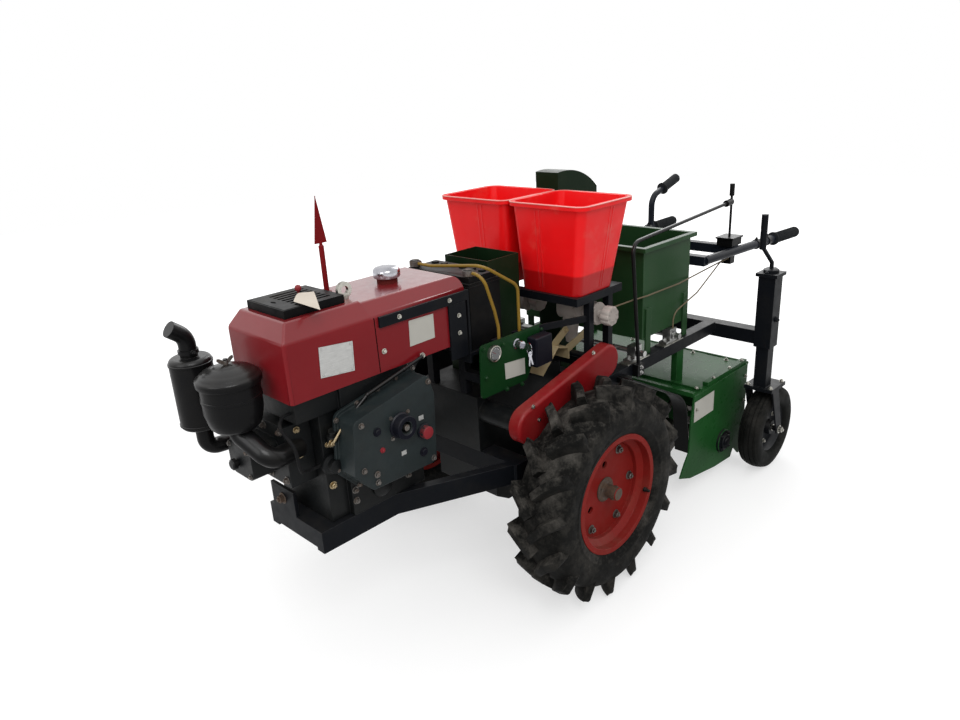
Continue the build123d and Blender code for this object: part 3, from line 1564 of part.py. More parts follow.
# Tail wheels: a rounded tyre, a thin disc and a hub
tail_sections = [
    (-tail_rim_w / 2, tail_rim_r), (-tail_w / 2, (tail_rim_r + tail_tread_r) / 2), (-tail_w / 3, tail_tread_r),
    (-tail_w / 6, tail_r), (tail_w / 6, tail_r), (tail_w / 3, tail_tread_r),
    (tail_w / 2, (tail_rim_r + tail_tread_r) / 2), (tail_rim_w / 2, tail_rim_r),
]
with BuildPart() as tail_wheel:
    for y, r in tail_sections:
        with BuildSketch(side_plane(column_y + y)):
            with Locations((fore(tail_wheel_x), tail_r)):
                RegularPolygon(r, tyre_sides, major_radius=False, rotation=180 / tyre_sides)
    loft(ruled=True)
    for outer_y in (tail_rim_w / 2 + overrun, -tail_disc_t / 2):
        with BuildSketch(side_plane(column_y + outer_y)):
            with Locations((fore(tail_wheel_x), tail_r)):
                RegularPolygon(tail_rim_r - tail_rim_lip, tyre_sides, rotation=180 / tyre_sides)
        extrude(amount=(tail_rim_w - tail_disc_t) / 2 + overrun, mode=Mode.SUBTRACT)
    with BuildSketch(side_plane(column_y + tail_w / 2)):
        with Locations((fore(tail_wheel_x), tail_r)):
            Circle(tail_hub_r)
    extrude(amount=tail_w)
    with BuildSketch(side_plane(column_y + tail_w)):
        with Locations((fore(tail_wheel_x), tail_r)):
            Circle(tail_pin_r + seat_gap)
    extrude(amount=2 * tail_w, mode=Mode.SUBTRACT)
keep_pair(tail_wheel.part, "tail_wheel")

# Rear board of the tiller on its hinge
with BuildPart() as rear_board:
    block(
        fore(board_hinge_x) - board_t / 2, fore(board_hinge_x) + board_t / 2, -board_half_y, board_half_y,
        board_low_z, board_hinge_z - board_r - board_gap,
    )
    for side in (1, -1):
        block(
            fore(board_hinge_x) - board_t / 2, fore(board_hinge_x) + board_t / 2,
            side * knuckle_y - knuckle_w / 2, side * knuckle_y + knuckle_w / 2,
            board_low_z, board_hinge_z,
        )
        with BuildSketch(side_plane(side * knuckle_y + knuckle_w / 2)):
            with Locations((fore(board_hinge_x), board_hinge_z)):
                Circle(board_r)
        extrude(amount=knuckle_w)
        with BuildSketch(side_plane(side * knuckle_y + knuckle_w / 2 + overrun)):
            with Locations((fore(board_hinge_x), board_hinge_z)):
                Circle(board_pin_r + seat_gap)
        extrude(amount=knuckle_w + 2 * overrun, mode=Mode.SUBTRACT)
keep(rear_board.part, "rear_board")

# Mud guards: curved sheets between the drive wheels and the tiller
with BuildPart() as mud_guards:
    for outer_y in (deck_half_y, -guard_inner_y):
        with BuildSketch(side_plane(outer_y)):
            with BuildLine():
                FilletPolyline(
                    (fore(guard_start[0]), guard_start[1]), (fore(guard_corner[0]), guard_corner[1]),
                    (fore(guard_end[0]), guard_end[1]), radius=guard_fillet,
                )
            trace(line_width=guard_t)
        extrude(amount=deck_half_y - guard_inner_y)
    for side in (1, -1):
        block(
            fore(guard_foot_x - guard_foot_w / 2), fore(guard_foot_x + guard_foot_w / 2),
            side * (rear_rail_y + rear_rail_w / 2), side * (guard_inner_y + overrun),
            guard_foot_z - guard_foot_h / 2, guard_foot_z + guard_foot_h / 2,
        )
keep(mud_guards.part, "mud_guards")

# Handlebars: two tubes, two cross bars, two stays on the tail bar and the right-hand gooseneck
handle_run = Vector(handle_end_x - handle_front_x, handle_end_y - handle_front_y, handle_end_z - handle_z)
handle_dir = handle_run.normalized()
grip_start = Vector(fore(handle_end_x), handle_end_y, handle_end_z) - handle_dir * grip_len
cross_share = (rear_cross_x - handle_front_x) / (handle_end_x - handle_front_x)
rear_cross_y = handle_front_y + cross_share * (handle_end_y - handle_front_y)
goose_base = Vector(fore(goose_x), goose_y, handle_z)
goose_knee = goose_base + Vector(0, 0, goose_rise + goose_bend_r)
goose_dir = Vector(-cos(radians(goose_lift)), 0, sin(radians(goose_lift)))
goose_end = goose_knee + goose_dir * (goose_bend_r + goose_len)
with BuildPart() as handlebars:
    for side in (1, -1):
        rod(
            (fore(handle_front_x), side * handle_front_y, handle_z),
            (grip_start.X, side * grip_start.Y, grip_start.Z), handle_tube_r,
        )
        with BuildSketch(side_plane(side * stay_y + cross_bar_w / 2)):
            with BuildLine():
                Polyline(
                    (fore(bar_x - cross_bar_w / 2), bar_low_z + bar_h),
                    (fore(bar_x + cross_bar_w / 2), bar_low_z + bar_h),
                    (fore(handle_front_x + cross_bar_w / 2), handle_z),
                    (fore(handle_front_x - cross_bar_w / 2), handle_z), close=True,
                )
            make_face()
        extrude(amount=cross_bar_w)
    for x, half_y in ((handle_front_x, handle_front_y + handle_tube_r / 2), (rear_cross_x, rear_cross_y)):
        block(
            fore(x - cross_bar_w / 2), fore(x + cross_bar_w / 2), -half_y, half_y,
            handle_z - cross_bar_w / 2, handle_z + cross_bar_w / 2,
        )
    with BuildLine() as goose_route:
        FilletPolyline(goose_base, goose_knee, goose_end, radius=goose_bend_r)
    with BuildSketch(Plane(origin=goose_route.line @ 0, z_dir=(0, 0, 1))):
        Circle(goose_tube_r)
    sweep(path=goose_route.line)
keep(handlebars.part, "handlebars")

# Rubber grips with their flanges
grip_start_right = Vector(grip_start.X, -grip_start.Y, grip_start.Z)
handle_dir_right = Vector(handle_dir.X, -handle_dir.Y, handle_dir.Z)
with BuildPart() as grips:
    for start, direction, length in (
        (grip_start, handle_dir, grip_len),
        (grip_start_right, handle_dir_right, grip_len),
        (goose_end, goose_dir, goose_grip_len),
    ):
        rod(tuple(start), tuple(start + direction * length), grip_r)
        rod(tuple(start), tuple(start + direction * grip_flange_t), grip_flange_r)
keep(grips.part, "grips")

# Levers: the long drive lever from the rail, and the clutch lever on its box
box_top = handle_z + cross_bar_w / 2
cross_bar_low_z = handle_z - cross_bar_w / 2
with BuildPart() as levers:
    block(
        fore(lever_x - lever_foot_w / 2), fore(lever_x + lever_foot_w / 2),
        rear_rail_y + rear_rail_w / 2, rear_rail_y + rear_rail_w / 2 + lever_foot_t, rear_rail_low_z, rail_deck_z,
    )
    lever_foot = Vector(fore(lever_x), lever_foot_y, rail_deck_z - rear_rail_h / 2)
    lever_knee = Vector(fore(lever_x), lever_y, lever_knee_z)
    lever_end = Vector(fore(lever_end_x), lever_end_y, lever_end_z)
    with BuildLine() as lever_route:
        FilletPolyline(lever_foot, lever_knee, lever_end, radius=lever_bend_r)
    with BuildSketch(Plane(origin=lever_route.line @ 0, z_dir=lever_route.line % 0)):
        Circle(lever_r)
    sweep(path=lever_route.line)
    lever_dir = (lever_end - lever_knee).normalized()
    rod(tuple(lever_end - lever_dir * lever_knob_len), tuple(lever_end), lever_knob_r)
    block(
        fore(lever_box_x - lever_box_len / 2), fore(lever_box_x + lever_box_len / 2),
        lever_box_y - lever_box_w / 2, lever_box_y + lever_box_w / 2, box_top, box_top + lever_box_h,
    )
    block(
        fore(lever_box_x - lever_bracket_len / 2), fore(cable_end_x),
        lever_box_y - lever_bracket_w / 2, lever_box_y + lever_bracket_w / 2,
        cross_bar_low_z - lever_bracket_h, cross_bar_low_z,
    )
    rod(
        (fore(lever_box_x), lever_box_y, box_top), (fore(lever_box_x), lever_box_y, lever_rod_top_z), lever_rod_r,
    )
    rod(
        (fore(lever_box_x), lever_box_y, lever_rod_top_z - lever_rod_grip_len),
        (fore(lever_box_x), lever_box_y, lever_rod_top_z), lever_rod_grip_r,
    )
keep(levers.part, "levers")

# Control cables: one along the seed hopper to the stand's post, one down to the rear shaft's bearing
with BuildPart() as control_cables:
    for route in (post_cable, bearing_cable):
        with BuildLine() as cable_route:
            FilletPolyline(*[(fore(x), y, z) for x, y, z in route], radius=control_bend_r)
        with BuildSketch(Plane(origin=cable_route.line @ 0, z_dir=cable_route.line % 0)):
            Circle(control_cable_r)
        sweep(path=cable_route.line)
keep(control_cables.part, "control_cables")

# Fuel hose in front of the block, beside the cylinder head
with BuildPart() as fuel_hose:
    with BuildLine() as hose_route:
        FilletPolyline(*[(fore(x), y, z) for x, y, z in hose_points], radius=hose_bend_r)
    with BuildSketch(Plane(origin=hose_route.line @ 0, z_dir=hose_route.line % 0)):
        Circle(hose_r)
    sweep(path=hose_route.line)
keep(fuel_hose.part, "fuel_hose")

# Link bar between the control panel and the front post of the hopper stand
with BuildPart() as link_bar:
    with BuildSketch(Plane.XY.offset(link_low_z)):
        with BuildLine():
            Polyline(*placed(link_points), close=True)
        make_face()
    extrude(amount=link_h)
keep(link_bar.part, "link_bar")
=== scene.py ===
"""The looks of the potato planter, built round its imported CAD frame.

Everything is in metres in the frame's own axes: +X forward, +Y to the left, +Z up. Tables of places are in
millimetres from the drive axle's centre line and the ground, and at() turns them into metres.
"""

import json
import math
import random

import bmesh
import bpy
from mathutils import Matrix, Vector


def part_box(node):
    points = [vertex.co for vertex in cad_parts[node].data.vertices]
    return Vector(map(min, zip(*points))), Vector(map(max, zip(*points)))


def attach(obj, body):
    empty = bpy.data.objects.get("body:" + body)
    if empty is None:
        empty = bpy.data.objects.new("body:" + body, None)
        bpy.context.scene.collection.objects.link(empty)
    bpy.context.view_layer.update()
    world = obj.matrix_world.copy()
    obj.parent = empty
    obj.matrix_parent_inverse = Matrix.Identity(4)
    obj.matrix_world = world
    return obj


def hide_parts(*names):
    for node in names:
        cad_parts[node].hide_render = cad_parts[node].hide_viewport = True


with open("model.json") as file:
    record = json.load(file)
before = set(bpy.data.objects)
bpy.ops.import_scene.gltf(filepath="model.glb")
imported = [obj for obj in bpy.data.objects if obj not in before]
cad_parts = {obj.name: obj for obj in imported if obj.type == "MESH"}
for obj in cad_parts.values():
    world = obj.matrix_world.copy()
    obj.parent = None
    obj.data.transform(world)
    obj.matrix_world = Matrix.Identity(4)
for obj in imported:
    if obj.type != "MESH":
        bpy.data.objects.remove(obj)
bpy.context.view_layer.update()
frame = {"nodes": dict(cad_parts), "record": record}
nodes = frame["nodes"]
body_of = {
    node: body
    for body, members in frame["record"]["behaviour"]["bodies"].items()
    for node in members
}
chassis = "chassis"
mm = 0.001
rng = random.Random(7)


def middle(node):
    """The middle of a CAD node's box."""
    low, high = (Vector(corner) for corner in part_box(node))
    return (low + high) / 2


axle_x = middle("rim_left").x


def at(x, y, z):
    """A place given in millimetres from the axle's line, the middle plane and the ground."""
    return Vector((axle_x + x * mm, y * mm, z * mm))


# Materials


def screen(*channels):
    """A colour from how it shows on a screen, 0 to 255. The finishes take their colours so."""
    parts = [channel / 255 for channel in channels]
    return [part / 12.92 if part <= 0.04045 else ((part + 0.055) / 1.055) ** 2.4 for part in parts] + [1]


def shade(colour, factor):
    """The colour made darker or lighter."""
    return [min(1, part * factor) for part in screen(*colour)[:3]] + [1]


class Nodes:
    """A node tree with short calls for the nodes used here."""

    def __init__(self, tree):
        self.tree = tree

    def add(self, kind, inputs=None, **settings):
        node = self.tree.nodes.new(kind)
        for key, value in settings.items():
            setattr(node, key, value)
        for key, value in (inputs or {}).items():
            self.join(value, node.inputs[key])
        return node

    def join(self, value, socket):
        if isinstance(value, bpy.types.NodeSocket):
            self.tree.links.new(value, socket)
        else:
            socket.default_value = value

    def spread(self, value, low, high, to_low=0.0, to_high=1.0):
        inputs = {"Value": value, "From Min": low, "From Max": high, "To Min": to_low, "To Max": to_high}
        return self.add("ShaderNodeMapRange", inputs).outputs["Result"]

    def math(self, operation, first, second):
        return self.add("ShaderNodeMath", {0: first, 1: second}, operation=operation).outputs[0]

    def height(self, vector):
        return self.add("ShaderNodeSeparateXYZ", {0: vector}).outputs["Z"]

    def seen_rays(self):
        """1 for what the camera, a mirror or glass shows, and 0 for what lights the object."""
        rays = self.add("ShaderNodeLightPath").outputs
        mirrored = self.math("MAXIMUM", rays["Is Glossy Ray"], rays["Is Transmission Ray"])
        return self.math("MAXIMUM", rays["Is Camera Ray"], mirrored)


class Finish(Nodes):
    """A material under construction."""

    def __init__(self, name):
        self.material = bpy.data.materials.new(name)
        self.material.use_nodes = True
        super().__init__(self.material.node_tree)
        self.shader = self.tree.nodes["Principled BSDF"]
        coordinates = self.add("ShaderNodeTexCoord")
        self.place = coordinates.outputs["Object"]
        self.facing = coordinates.outputs["Normal"]

    def set(self, **values):
        for key, value in values.items():
            self.join(value, self.shader.inputs[key.replace("_", " ")])

    def noise(self, scale, detail=4, rough=0.55, place=None):
        inputs = {"Vector": place or self.place, "Scale": scale, "Detail": detail, "Roughness": rough}
        return self.add("ShaderNodeTexNoise", inputs).outputs["Fac"]

    def stretched(self, x, y, z):
        mapping = self.add("ShaderNodeMapping", {"Vector": self.place, "Scale": (x, y, z)})
        return mapping.outputs["Vector"]

    def mix(self, factor, first, second):
        node = self.add("ShaderNodeMix", {0: factor, 6: first, 7: second}, data_type="RGBA")
        return node.outputs[2]

    def bump(self, height, strength, distance, normal=None):
        inputs = {"Height": height, "Strength": strength, "Distance": distance}
        if normal:
            inputs["Normal"] = normal
        return self.add("ShaderNodeBump", inputs).outputs["Normal"]

    def upward(self):
        """0 where a surface faces down and 1 where it faces up."""
        return self.spread(self.height(self.facing), -0.3, 1.0, 0.15, 1.0)

    def edges(self, radius, low=0.9, high=0.995):
        """1 along a hard edge, broken up by noise, as where paint is rubbed."""
        rounded = self.add("ShaderNodeBevel", {"Radius": radius}, samples=3).outputs["Normal"]
        flat = self.add("ShaderNodeNewGeometry").outputs["Normal"]
        dot = self.add("ShaderNodeVectorMath", {0: rounded, 1: flat}, operation="DOT_PRODUCT")
        rim = self.spread(dot.outputs["Value"], high, low)
        return self.math("MULTIPLY", rim, self.spread(self.noise(70, 6, 0.7), 0.42, 0.62))


dust_colour = screen(128, 118, 100)


def paint(name, colour, rough=0.4, coat=0.0, metal=0.0, vary=0.14, dust=0.25, grain=0.15, wear=0.0,
          worn=None, grain_scale=900, spotting=9.0, specular=0.4, coat_rough=0.08):
    """Paint, plastic or plain metal: an uneven tone, dust on what faces up, rubbed edges, a fine grain, and a
    painted sheen with coat and specular stronger on upward faces than on the sides.
    """
    look = Finish(name)
    tone = look.spread(look.noise(5, 5), 0.3, 0.7)
    base = look.mix(tone, shade(colour, 1 - vary), shade(colour, 1 + vary))
    if wear:
        rubbed = look.math("MULTIPLY", look.edges(1.6 * mm), wear)
        base = look.mix(rubbed, base, screen(*worn) if worn else shade(colour, 2.2))
    patch = look.spread(look.noise(spotting, 8, 0.68), 0.46, 0.8)
    settled = look.math("MULTIPLY", look.math("MULTIPLY", look.upward(), patch), dust)
    base = look.mix(settled, base, dust_colour)
    gloss = look.spread(look.noise(38, 5, 0.6), 0.3, 0.7, rough * 0.82, min(1, rough * 1.2))
    gloss = look.math("ADD", gloss, look.math("MULTIPLY", settled, 0.5))
    look.set(Base_Color=base, Roughness=gloss, Metallic=metal, Coat_Roughness=coat_rough)
    # Painted sheen by facing: coat and specular rise on upward faces and drop on the sides, standing in for
    # light from above
    top_sheen = look.spread(look.height(look.facing), 0.1, 0.9, 0.12, 1.0)
    if coat:
        look.set(Coat_Weight=look.math("MULTIPLY", top_sheen, coat))
    look.set(Specular_IOR_Level=look.math("MULTIPLY", top_sheen, specular))
    look.set(Normal=look.bump(look.noise(grain_scale, 3), grain, 0.25 * mm))
    return look.material


def rubber(name, colour, dust=0.5):
    """Tyre rubber: matt, finely pitted, with dried soil in patches, made paler on upward faces as painted
    light from above.
    """
    look = Finish(name)
    tone = look.spread(look.noise(26, 6, 0.65), 0.32, 0.7)
    base = look.mix(tone, shade(colour, 0.7), shade(colour, 1.35))
    soil = look.spread(look.noise(11, 10, 0.72), 0.47, 0.68)
    scuff = look.spread(look.noise(90, 6, 0.7), 0.5, 0.75)
    soil_and_top_light = look.math("MULTIPLY", look.math("ADD", soil, look.math("MULTIPLY", scuff, 0.4)), dust)
    # Paler on upward faces: part dried soil, part painted light from above
    soil_and_top_light = look.math("MULTIPLY", soil_and_top_light, look.upward())
    base = look.mix(soil_and_top_light, base, screen(108, 104, 98))
    look.set(Base_Color=base, Roughness=look.spread(tone, 0, 1, 0.62, 0.88))
    look.set(Specular_IOR_Level=0.08)
    coarse = look.bump(look.noise(130, 6, 0.7), 0.35, 0.8 * mm)
    look.set(Normal=look.bump(look.noise(1100, 3), 0.25, 0.3 * mm, coarse))
    return look.material


def casting(name, colour, rough=0.5, oil=0.35):
    """Painted cast iron: a sandy skin, darker oily patches and pale dust."""
    look = Finish(name)
    tone = look.spread(look.noise(8, 6, 0.6), 0.3, 0.7)
    base = look.mix(tone, shade(colour, 0.72), shade(colour, 1.25))
    oily = look.math("MULTIPLY", look.spread(look.noise(5, 7, 0.7), 0.5, 0.7), oil)
    base = look.mix(oily, base, screen(16, 17, 17))
    settled = look.math("MULTIPLY", look.upward(), look.spread(look.noise(15, 8, 0.7), 0.5, 0.8))
    base = look.mix(look.math("MULTIPLY", settled, 0.2), base, screen(96, 92, 82))
    dusty = look.spread(settled, 0, 1, rough, rough + 0.3)
    gloss = look.math("SUBTRACT", dusty, look.math("MULTIPLY", oily, 0.35))
    look.set(Base_Color=base, Roughness=gloss, Specular_IOR_Level=0.14)
    skin = look.bump(look.noise(420, 5, 0.65), 0.4, 0.5 * mm)
    look.set(Normal=look.bump(look.noise(60, 4), 0.25, 1.2 * mm, skin))
    return look.material


def metal(name, colour, rough=0.3, rust=0.0, brushed=None):
    """Bare or plated metal, with rust where told."""
    look = Finish(name)
    tone = look.spread(look.noise(40, 6, 0.6, brushed and look.stretched(*brushed)), 0.3, 0.7)
    base = look.mix(tone, shade(colour, 0.8), shade(colour, 1.12))
    shine = 1.0
    if rust:
        blotch = look.spread(look.noise(55, 9, 0.72), 0.62 - rust * 0.3, 0.8 - rust * 0.3)
        brown = look.mix(look.noise(160, 5), screen(46, 34, 26), screen(94, 72, 54))
        base = look.mix(blotch, base, brown)
        shine = look.spread(blotch, 0, 1, 0.95, 0.05)
        look.set(Roughness=look.spread(blotch, 0, 1, rough, 0.85))
        look.set(Normal=look.bump(look.math("MULTIPLY", look.noise(500, 5), blotch), 0.5, 0.5 * mm))
    else:
        look.set(Roughness=look.spread(look.noise(120, 6), 0.3, 0.7, rough * 0.75, rough * 1.3))
        look.set(Normal=look.bump(look.noise(300, 4), 0.08, 0.2 * mm))
    look.set(Base_Color=base, Metallic=shine)
    return look.material


def tub_plastic(name, colour):
    """Moulded polyethylene: light glows through it a little, and the foot is painted darker as shade."""
    look = Finish(name)
    low, (foot_low, foot_high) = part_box("fertilizer_hopper_left")[0][2], (58 * mm, 64 * mm)
    # Painted shade: the hopper's lowest 58 to 64 millimetres are painted half as bright
    foot = look.spread(look.height(look.place), low + foot_low, low + foot_high)
    tone = look.spread(look.noise(3.5, 4), 0.3, 0.7)
    upper = look.mix(tone, shade(colour, 0.88), shade(colour, 1.06))
    base = look.mix(foot, shade(colour, 0.5), upper)
    smear = look.math("MULTIPLY", look.spread(look.noise(13, 9, 0.7), 0.55, 0.85), 0.22)
    base = look.mix(smear, base, screen(214, 150, 130))
    look.set(Base_Color=base, Roughness=look.spread(look.noise(24, 5), 0.3, 0.7, 0.3, 0.46))
    look.set(Subsurface_Weight=0.12, Subsurface_Scale=0.012, Specular_IOR_Level=0.22)
    look.shader.inputs["Subsurface Radius"].default_value = (1.0, 0.25, 0.15)
    look.set(Normal=look.bump(look.noise(9, 3), 0.12, 3 * mm))
    return look.material


def glass(name, colour):
    look = Finish(name)
    tone = look.mix(look.noise(30, 3), shade(colour, 0.8), shade(colour, 1.2))
    look.set(Base_Color=tone, Roughness=0.06, Coat_Weight=1.0, Coat_Roughness=0.03)
    return look.material


hood_red = paint("hood_red", (122, 24, 30), 0.34, coat=1.0, dust=0.03, grain=0.05, vary=0.08,
                 specular=0.5, coat_rough=0.14)
hopper_orange = tub_plastic("hopper_orange", (240, 18, 22))
# The rim's pale pink is a painted highlight on the red plastic's lip
hopper_rim_highlight = paint("hopper_rim_highlight", (226, 150, 140), 0.4, dust=0.1, vary=0.06)
case_red = paint("case_red", (132, 22, 26), 0.36, coat=0.2, dust=0.22, wear=0.5, specular=0.3)
rim_red = paint("rim_red", (126, 32, 28), 0.45, dust=0.3, wear=0.35, specular=0.3)
green_paint = paint("green_paint", (30, 76, 35), 0.3, coat=0.1, dust=0.0, grain=0.05, wear=0.4, vary=0.25,
                    worn=(120, 160, 124), specular=0.2, coat_rough=0.06)
hopper_green = paint("hopper_green", (36, 66, 38), 0.34, coat=0.15, dust=0.08, wear=0.4,
                     worn=(90, 118, 92))
dark_green = paint("dark_green", (17, 34, 18), 0.4, coat=0.1, dust=0.1, wear=0.4)
panel_green = paint("panel_green", (17, 52, 24), 0.34, coat=0.2, dust=0.08, wear=0.4)
frame_black = paint("frame_black", (17, 19, 23), 0.4, dust=0.1, wear=0.4, worn=(70, 72, 74))
handle_black = paint("handle_black", (24, 28, 36), 0.34, dust=0.08, wear=0.4)
satin_black = paint("satin_black", (15, 15, 16), 0.36, coat=0.4, dust=0.06, grain=0.1, coat_rough=0.16)
black_plastic = paint("black_plastic", (14, 14, 15), 0.5, dust=0.12, grain=0.4, grain_scale=500)
relay_plastic = paint("relay_plastic", (18, 19, 27), 0.42, dust=0.08, grain=0.3)
engine_green = casting("engine_green", (33, 40, 41), 0.42)
cast_casing = casting("cast_casing", (14, 16, 17), 0.5, oil=0.5)
block_iron = casting("block_iron", (12, 14, 15), 0.52, oil=0.6)
tyre_rubber = rubber("tyre_rubber", (15, 15, 14), 0.62)
tail_rubber = rubber("tail_rubber", (13, 14, 13), 0.2)
belt_rubber = rubber("belt_rubber", (22, 22, 23), 0.2)
grip_rubber = rubber("grip_rubber", (38, 40, 42), 0.12)
meter_white = paint("meter_white", (168, 160, 154), 0.5, dust=0.4, vary=0.08, spotting=16)
plate_white = paint("plate_white", (188, 186, 178), 0.5, dust=0.25, vary=0.05)
tag_white = paint("tag_white", (206, 196, 182), 0.6, dust=0.2, vary=0.06)
plate_silver = metal("plate_silver", (172, 172, 170), 0.36, brushed=(1, 1, 40))
cap_chrome = metal("cap_chrome", (178, 178, 184), 0.2)
bright_steel = metal("bright_steel", (160, 160, 158), 0.3, rust=0.12)
zinc = metal("zinc", (172, 170, 162), 0.32)
zinc_yellow = paint("zinc_yellow", (178, 160, 124), 0.34, metal=0.25, dust=0.1, vary=0.1, grain=0.05)
brass = metal("brass", (150, 135, 108), 0.34)
rusty_steel = metal("rusty_steel", (82, 74, 68), 0.5, rust=0.85)
worn_steel = metal("worn_steel", (100, 97, 94), 0.42, rust=0.5)
marker_red = paint("marker_red", (112, 20, 24), 0.4, dust=0.1)
cap_red = paint("cap_red", (134, 44, 50), 0.45, dust=0.15)
red_brown = paint("red_brown", (92, 30, 28), 0.5, dust=0.2)
lead_yellow = paint("lead_yellow", (136, 108, 44), 0.42, dust=0.2, vary=0.12)
cable_tan = paint("cable_tan", (104, 92, 72), 0.5, dust=0.2)
# Near black: painted shade for the grille's hole and the wheel's dish behind the hub, and the dark joint
# between hood and tank
shade_and_seam_dark = paint("shade_and_seam_dark", (8, 8, 8), 0.9, dust=0.05, specular=0.05)
dial_glass = glass("dial_glass", (16, 18, 22))
dial_white = paint("dial_white", (200, 200, 196), 0.5, dust=0.0)


# Mesh making. Sizes are in millimetres and places in metres, as at() gives them

to_front, to_left, to_top = (1, 0, 0), (0, 1, 0), (0, 0, 1)
# The mesh under construction. Shapes are added to it, and finish_piece() makes a piece of it and empties it
form = bmesh.new()


def circle(count):
    """Angles spread evenly round a turn."""
    return [math.tau * k / count for k in range(count)]


both_sides = (("left", 1), ("right", -1))


def turned(direction):
    """Two unit vectors square to a direction, and the direction's own."""
    along = Vector(direction).normalized()
    side = Vector((0, 0, 1)).cross(along)
    if side.length < 0.1:
        side = Vector((1, 0, 0))
    side.normalize()
    return side, along.cross(side), along


def ring(centre, direction, radius, count, turn=0.0):
    side, up, _ = turned(direction)
    reach, angles = radius * mm, [angle + turn for angle in circle(count)]
    return [centre + side * reach * math.cos(a) + up * reach * math.sin(a) for a in angles]


def loft(loops, caps=(True, True), closed=True, around=False, index=0):
    """Faces between loops of points. closed joins a loop's ends, around the last loop to the first."""
    rows = [[form.verts.new(point) for point in loop] for loop in loops]
    count = len(rows[0])
    spans = list(zip(rows, rows[1:] + rows[:1])) if around else list(zip(rows, rows[1:]))
    for low, high in spans:
        for k in range(count if closed else count - 1):
            face = form.faces.new((low[k], low[(k + 1) % count], high[(k + 1) % count], high[k]))
            face.material_index = index
    if closed and not around:
        for wanted, row in zip(caps, (rows[0][::-1], rows[-1])):
            if wanted:
                form.faces.new(row).material_index = index


def lathe(profile, centre, direction, steps=48, index=0, solid_ends=True):
    """A turned form. profile is (radius, distance along) from one end to the other."""
    along = turned(direction)[2]
    loops = [ring(centre + along * (height * mm), direction, radius, steps) for radius, height in profile]
    loft(loops, (solid_ends, solid_ends), index=index)


def rod(start, end, radius, sides=16, index=0, chamfer=0.0):
    length = (end - start).length / mm
    profile = [(radius, 0), (radius, length)]
    if chamfer:
        small = radius - chamfer
        profile = [(small, 0), (radius, chamfer), (radius, length - chamfer), (small, length)]
    lathe(profile, start, end - start, sides, index)


def box(low, high):
    """A box between two corners, both in millimetres as at() takes them."""
    corners = ((low[0], low[1]), (high[0], low[1]), (high[0], high[1]), (low[0], high[1]))
    loft([[at(x, y, z) for x, y in corners] for z in (low[2], high[2])])


def slab(outline, direction, thickness, index=0):
    """A flat plate: an outline pushed along a direction."""
    push = Vector(direction).normalized() * (thickness * mm)
    loft([outline, [point + push for point in outline]], index=index)


def nut(place, direction, across, index=0, washer=True, thread=0.25):
    """A hexagon head with its chamfer, on a washer, with the end of its thread."""
    along = turned(direction)[2]
    radius = across / math.sqrt(3)
    turn = rng.uniform(0, math.pi / 3)
    base = place
    if washer:
        lathe([(across * 0.76, 0), (across * 0.8, across * 0.03), (across * 0.8, across * 0.1),
               (across * 0.76, across * 0.13)], base, direction, 20, index)
        base = base + along * (across * 0.13 * mm)
    tall = across * 0.55
    loops = [ring(base + along * (height * mm), direction, radius * part, 6, turn)
             for height, part in ((0, 1), (tall * 0.86, 1), (tall, 0.86))]
    loft(loops, index=index)
    if thread:
        lathe([(across * 0.27, tall), (across * 0.27, tall + across * thread * 0.8),
               (across * 0.2, tall + across * thread)], base, direction, 14, index)


def finish_piece(name, materials, body=chassis, slot=None, sharp=34, replaces=(), bevel=0.0):
    """Turns the mesh into a shown object that rides on a body. sharp is the angle where shading breaks."""
    bmesh.ops.recalc_face_normals(form, faces=form.faces)
    for edge in form.edges:
        edge.smooth = edge.calc_face_angle(math.pi) < math.radians(sharp)
    for face in form.faces:
        face.smooth = True
    mesh = bpy.data.meshes.new(name)
    form.to_mesh(mesh)
    form.clear()
    for material in materials if isinstance(materials, (list, tuple)) else [materials]:
        mesh.materials.append(material)
    piece = bpy.data.objects.new(name, mesh)
    bpy.context.collection.objects.link(piece)
    if bevel:
        rounding = piece.modifiers.new("rounded", "BEVEL")
        rounding.width = bevel * mm
        rounding.segments = 2
        rounding.limit_method = "ANGLE"
        rounding.angle_limit = math.radians(sharp)
        rounding.use_clamp_overlap = True
        rounding.harden_normals = True
    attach(piece, body)
    if replaces:
        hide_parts(*replaces)
    return piece


def nuts(name, finish, groups, body=chassis):
    """A piece of nuts. A group holds the way they face, their size, their thread and their places."""
    for direction, across, thread, places in groups:
        for place in places:
            nut(at(*place), direction, across, thread=thread)
    finish_piece(name, finish, body, sharp=30)


def boxes(name, finish, spans, **options):
    """A piece of boxes, each between its two corners."""
    for low, high in spans:
        box(low, high)
    finish_piece(name, finish, **options)


def turned_piece(name, finish, foot, steps, profiles, direction=to_top, body=chassis, **options):
    """A piece of turned forms on one foot."""
    for profile in profiles:
        lathe(profile, foot, direction, steps)
    finish_piece(name, finish, body, **options)


# CAD nodes shown as rounded copies: the finish, then each node's edge radius. Tyres and tail wheels have
# pieces of their own

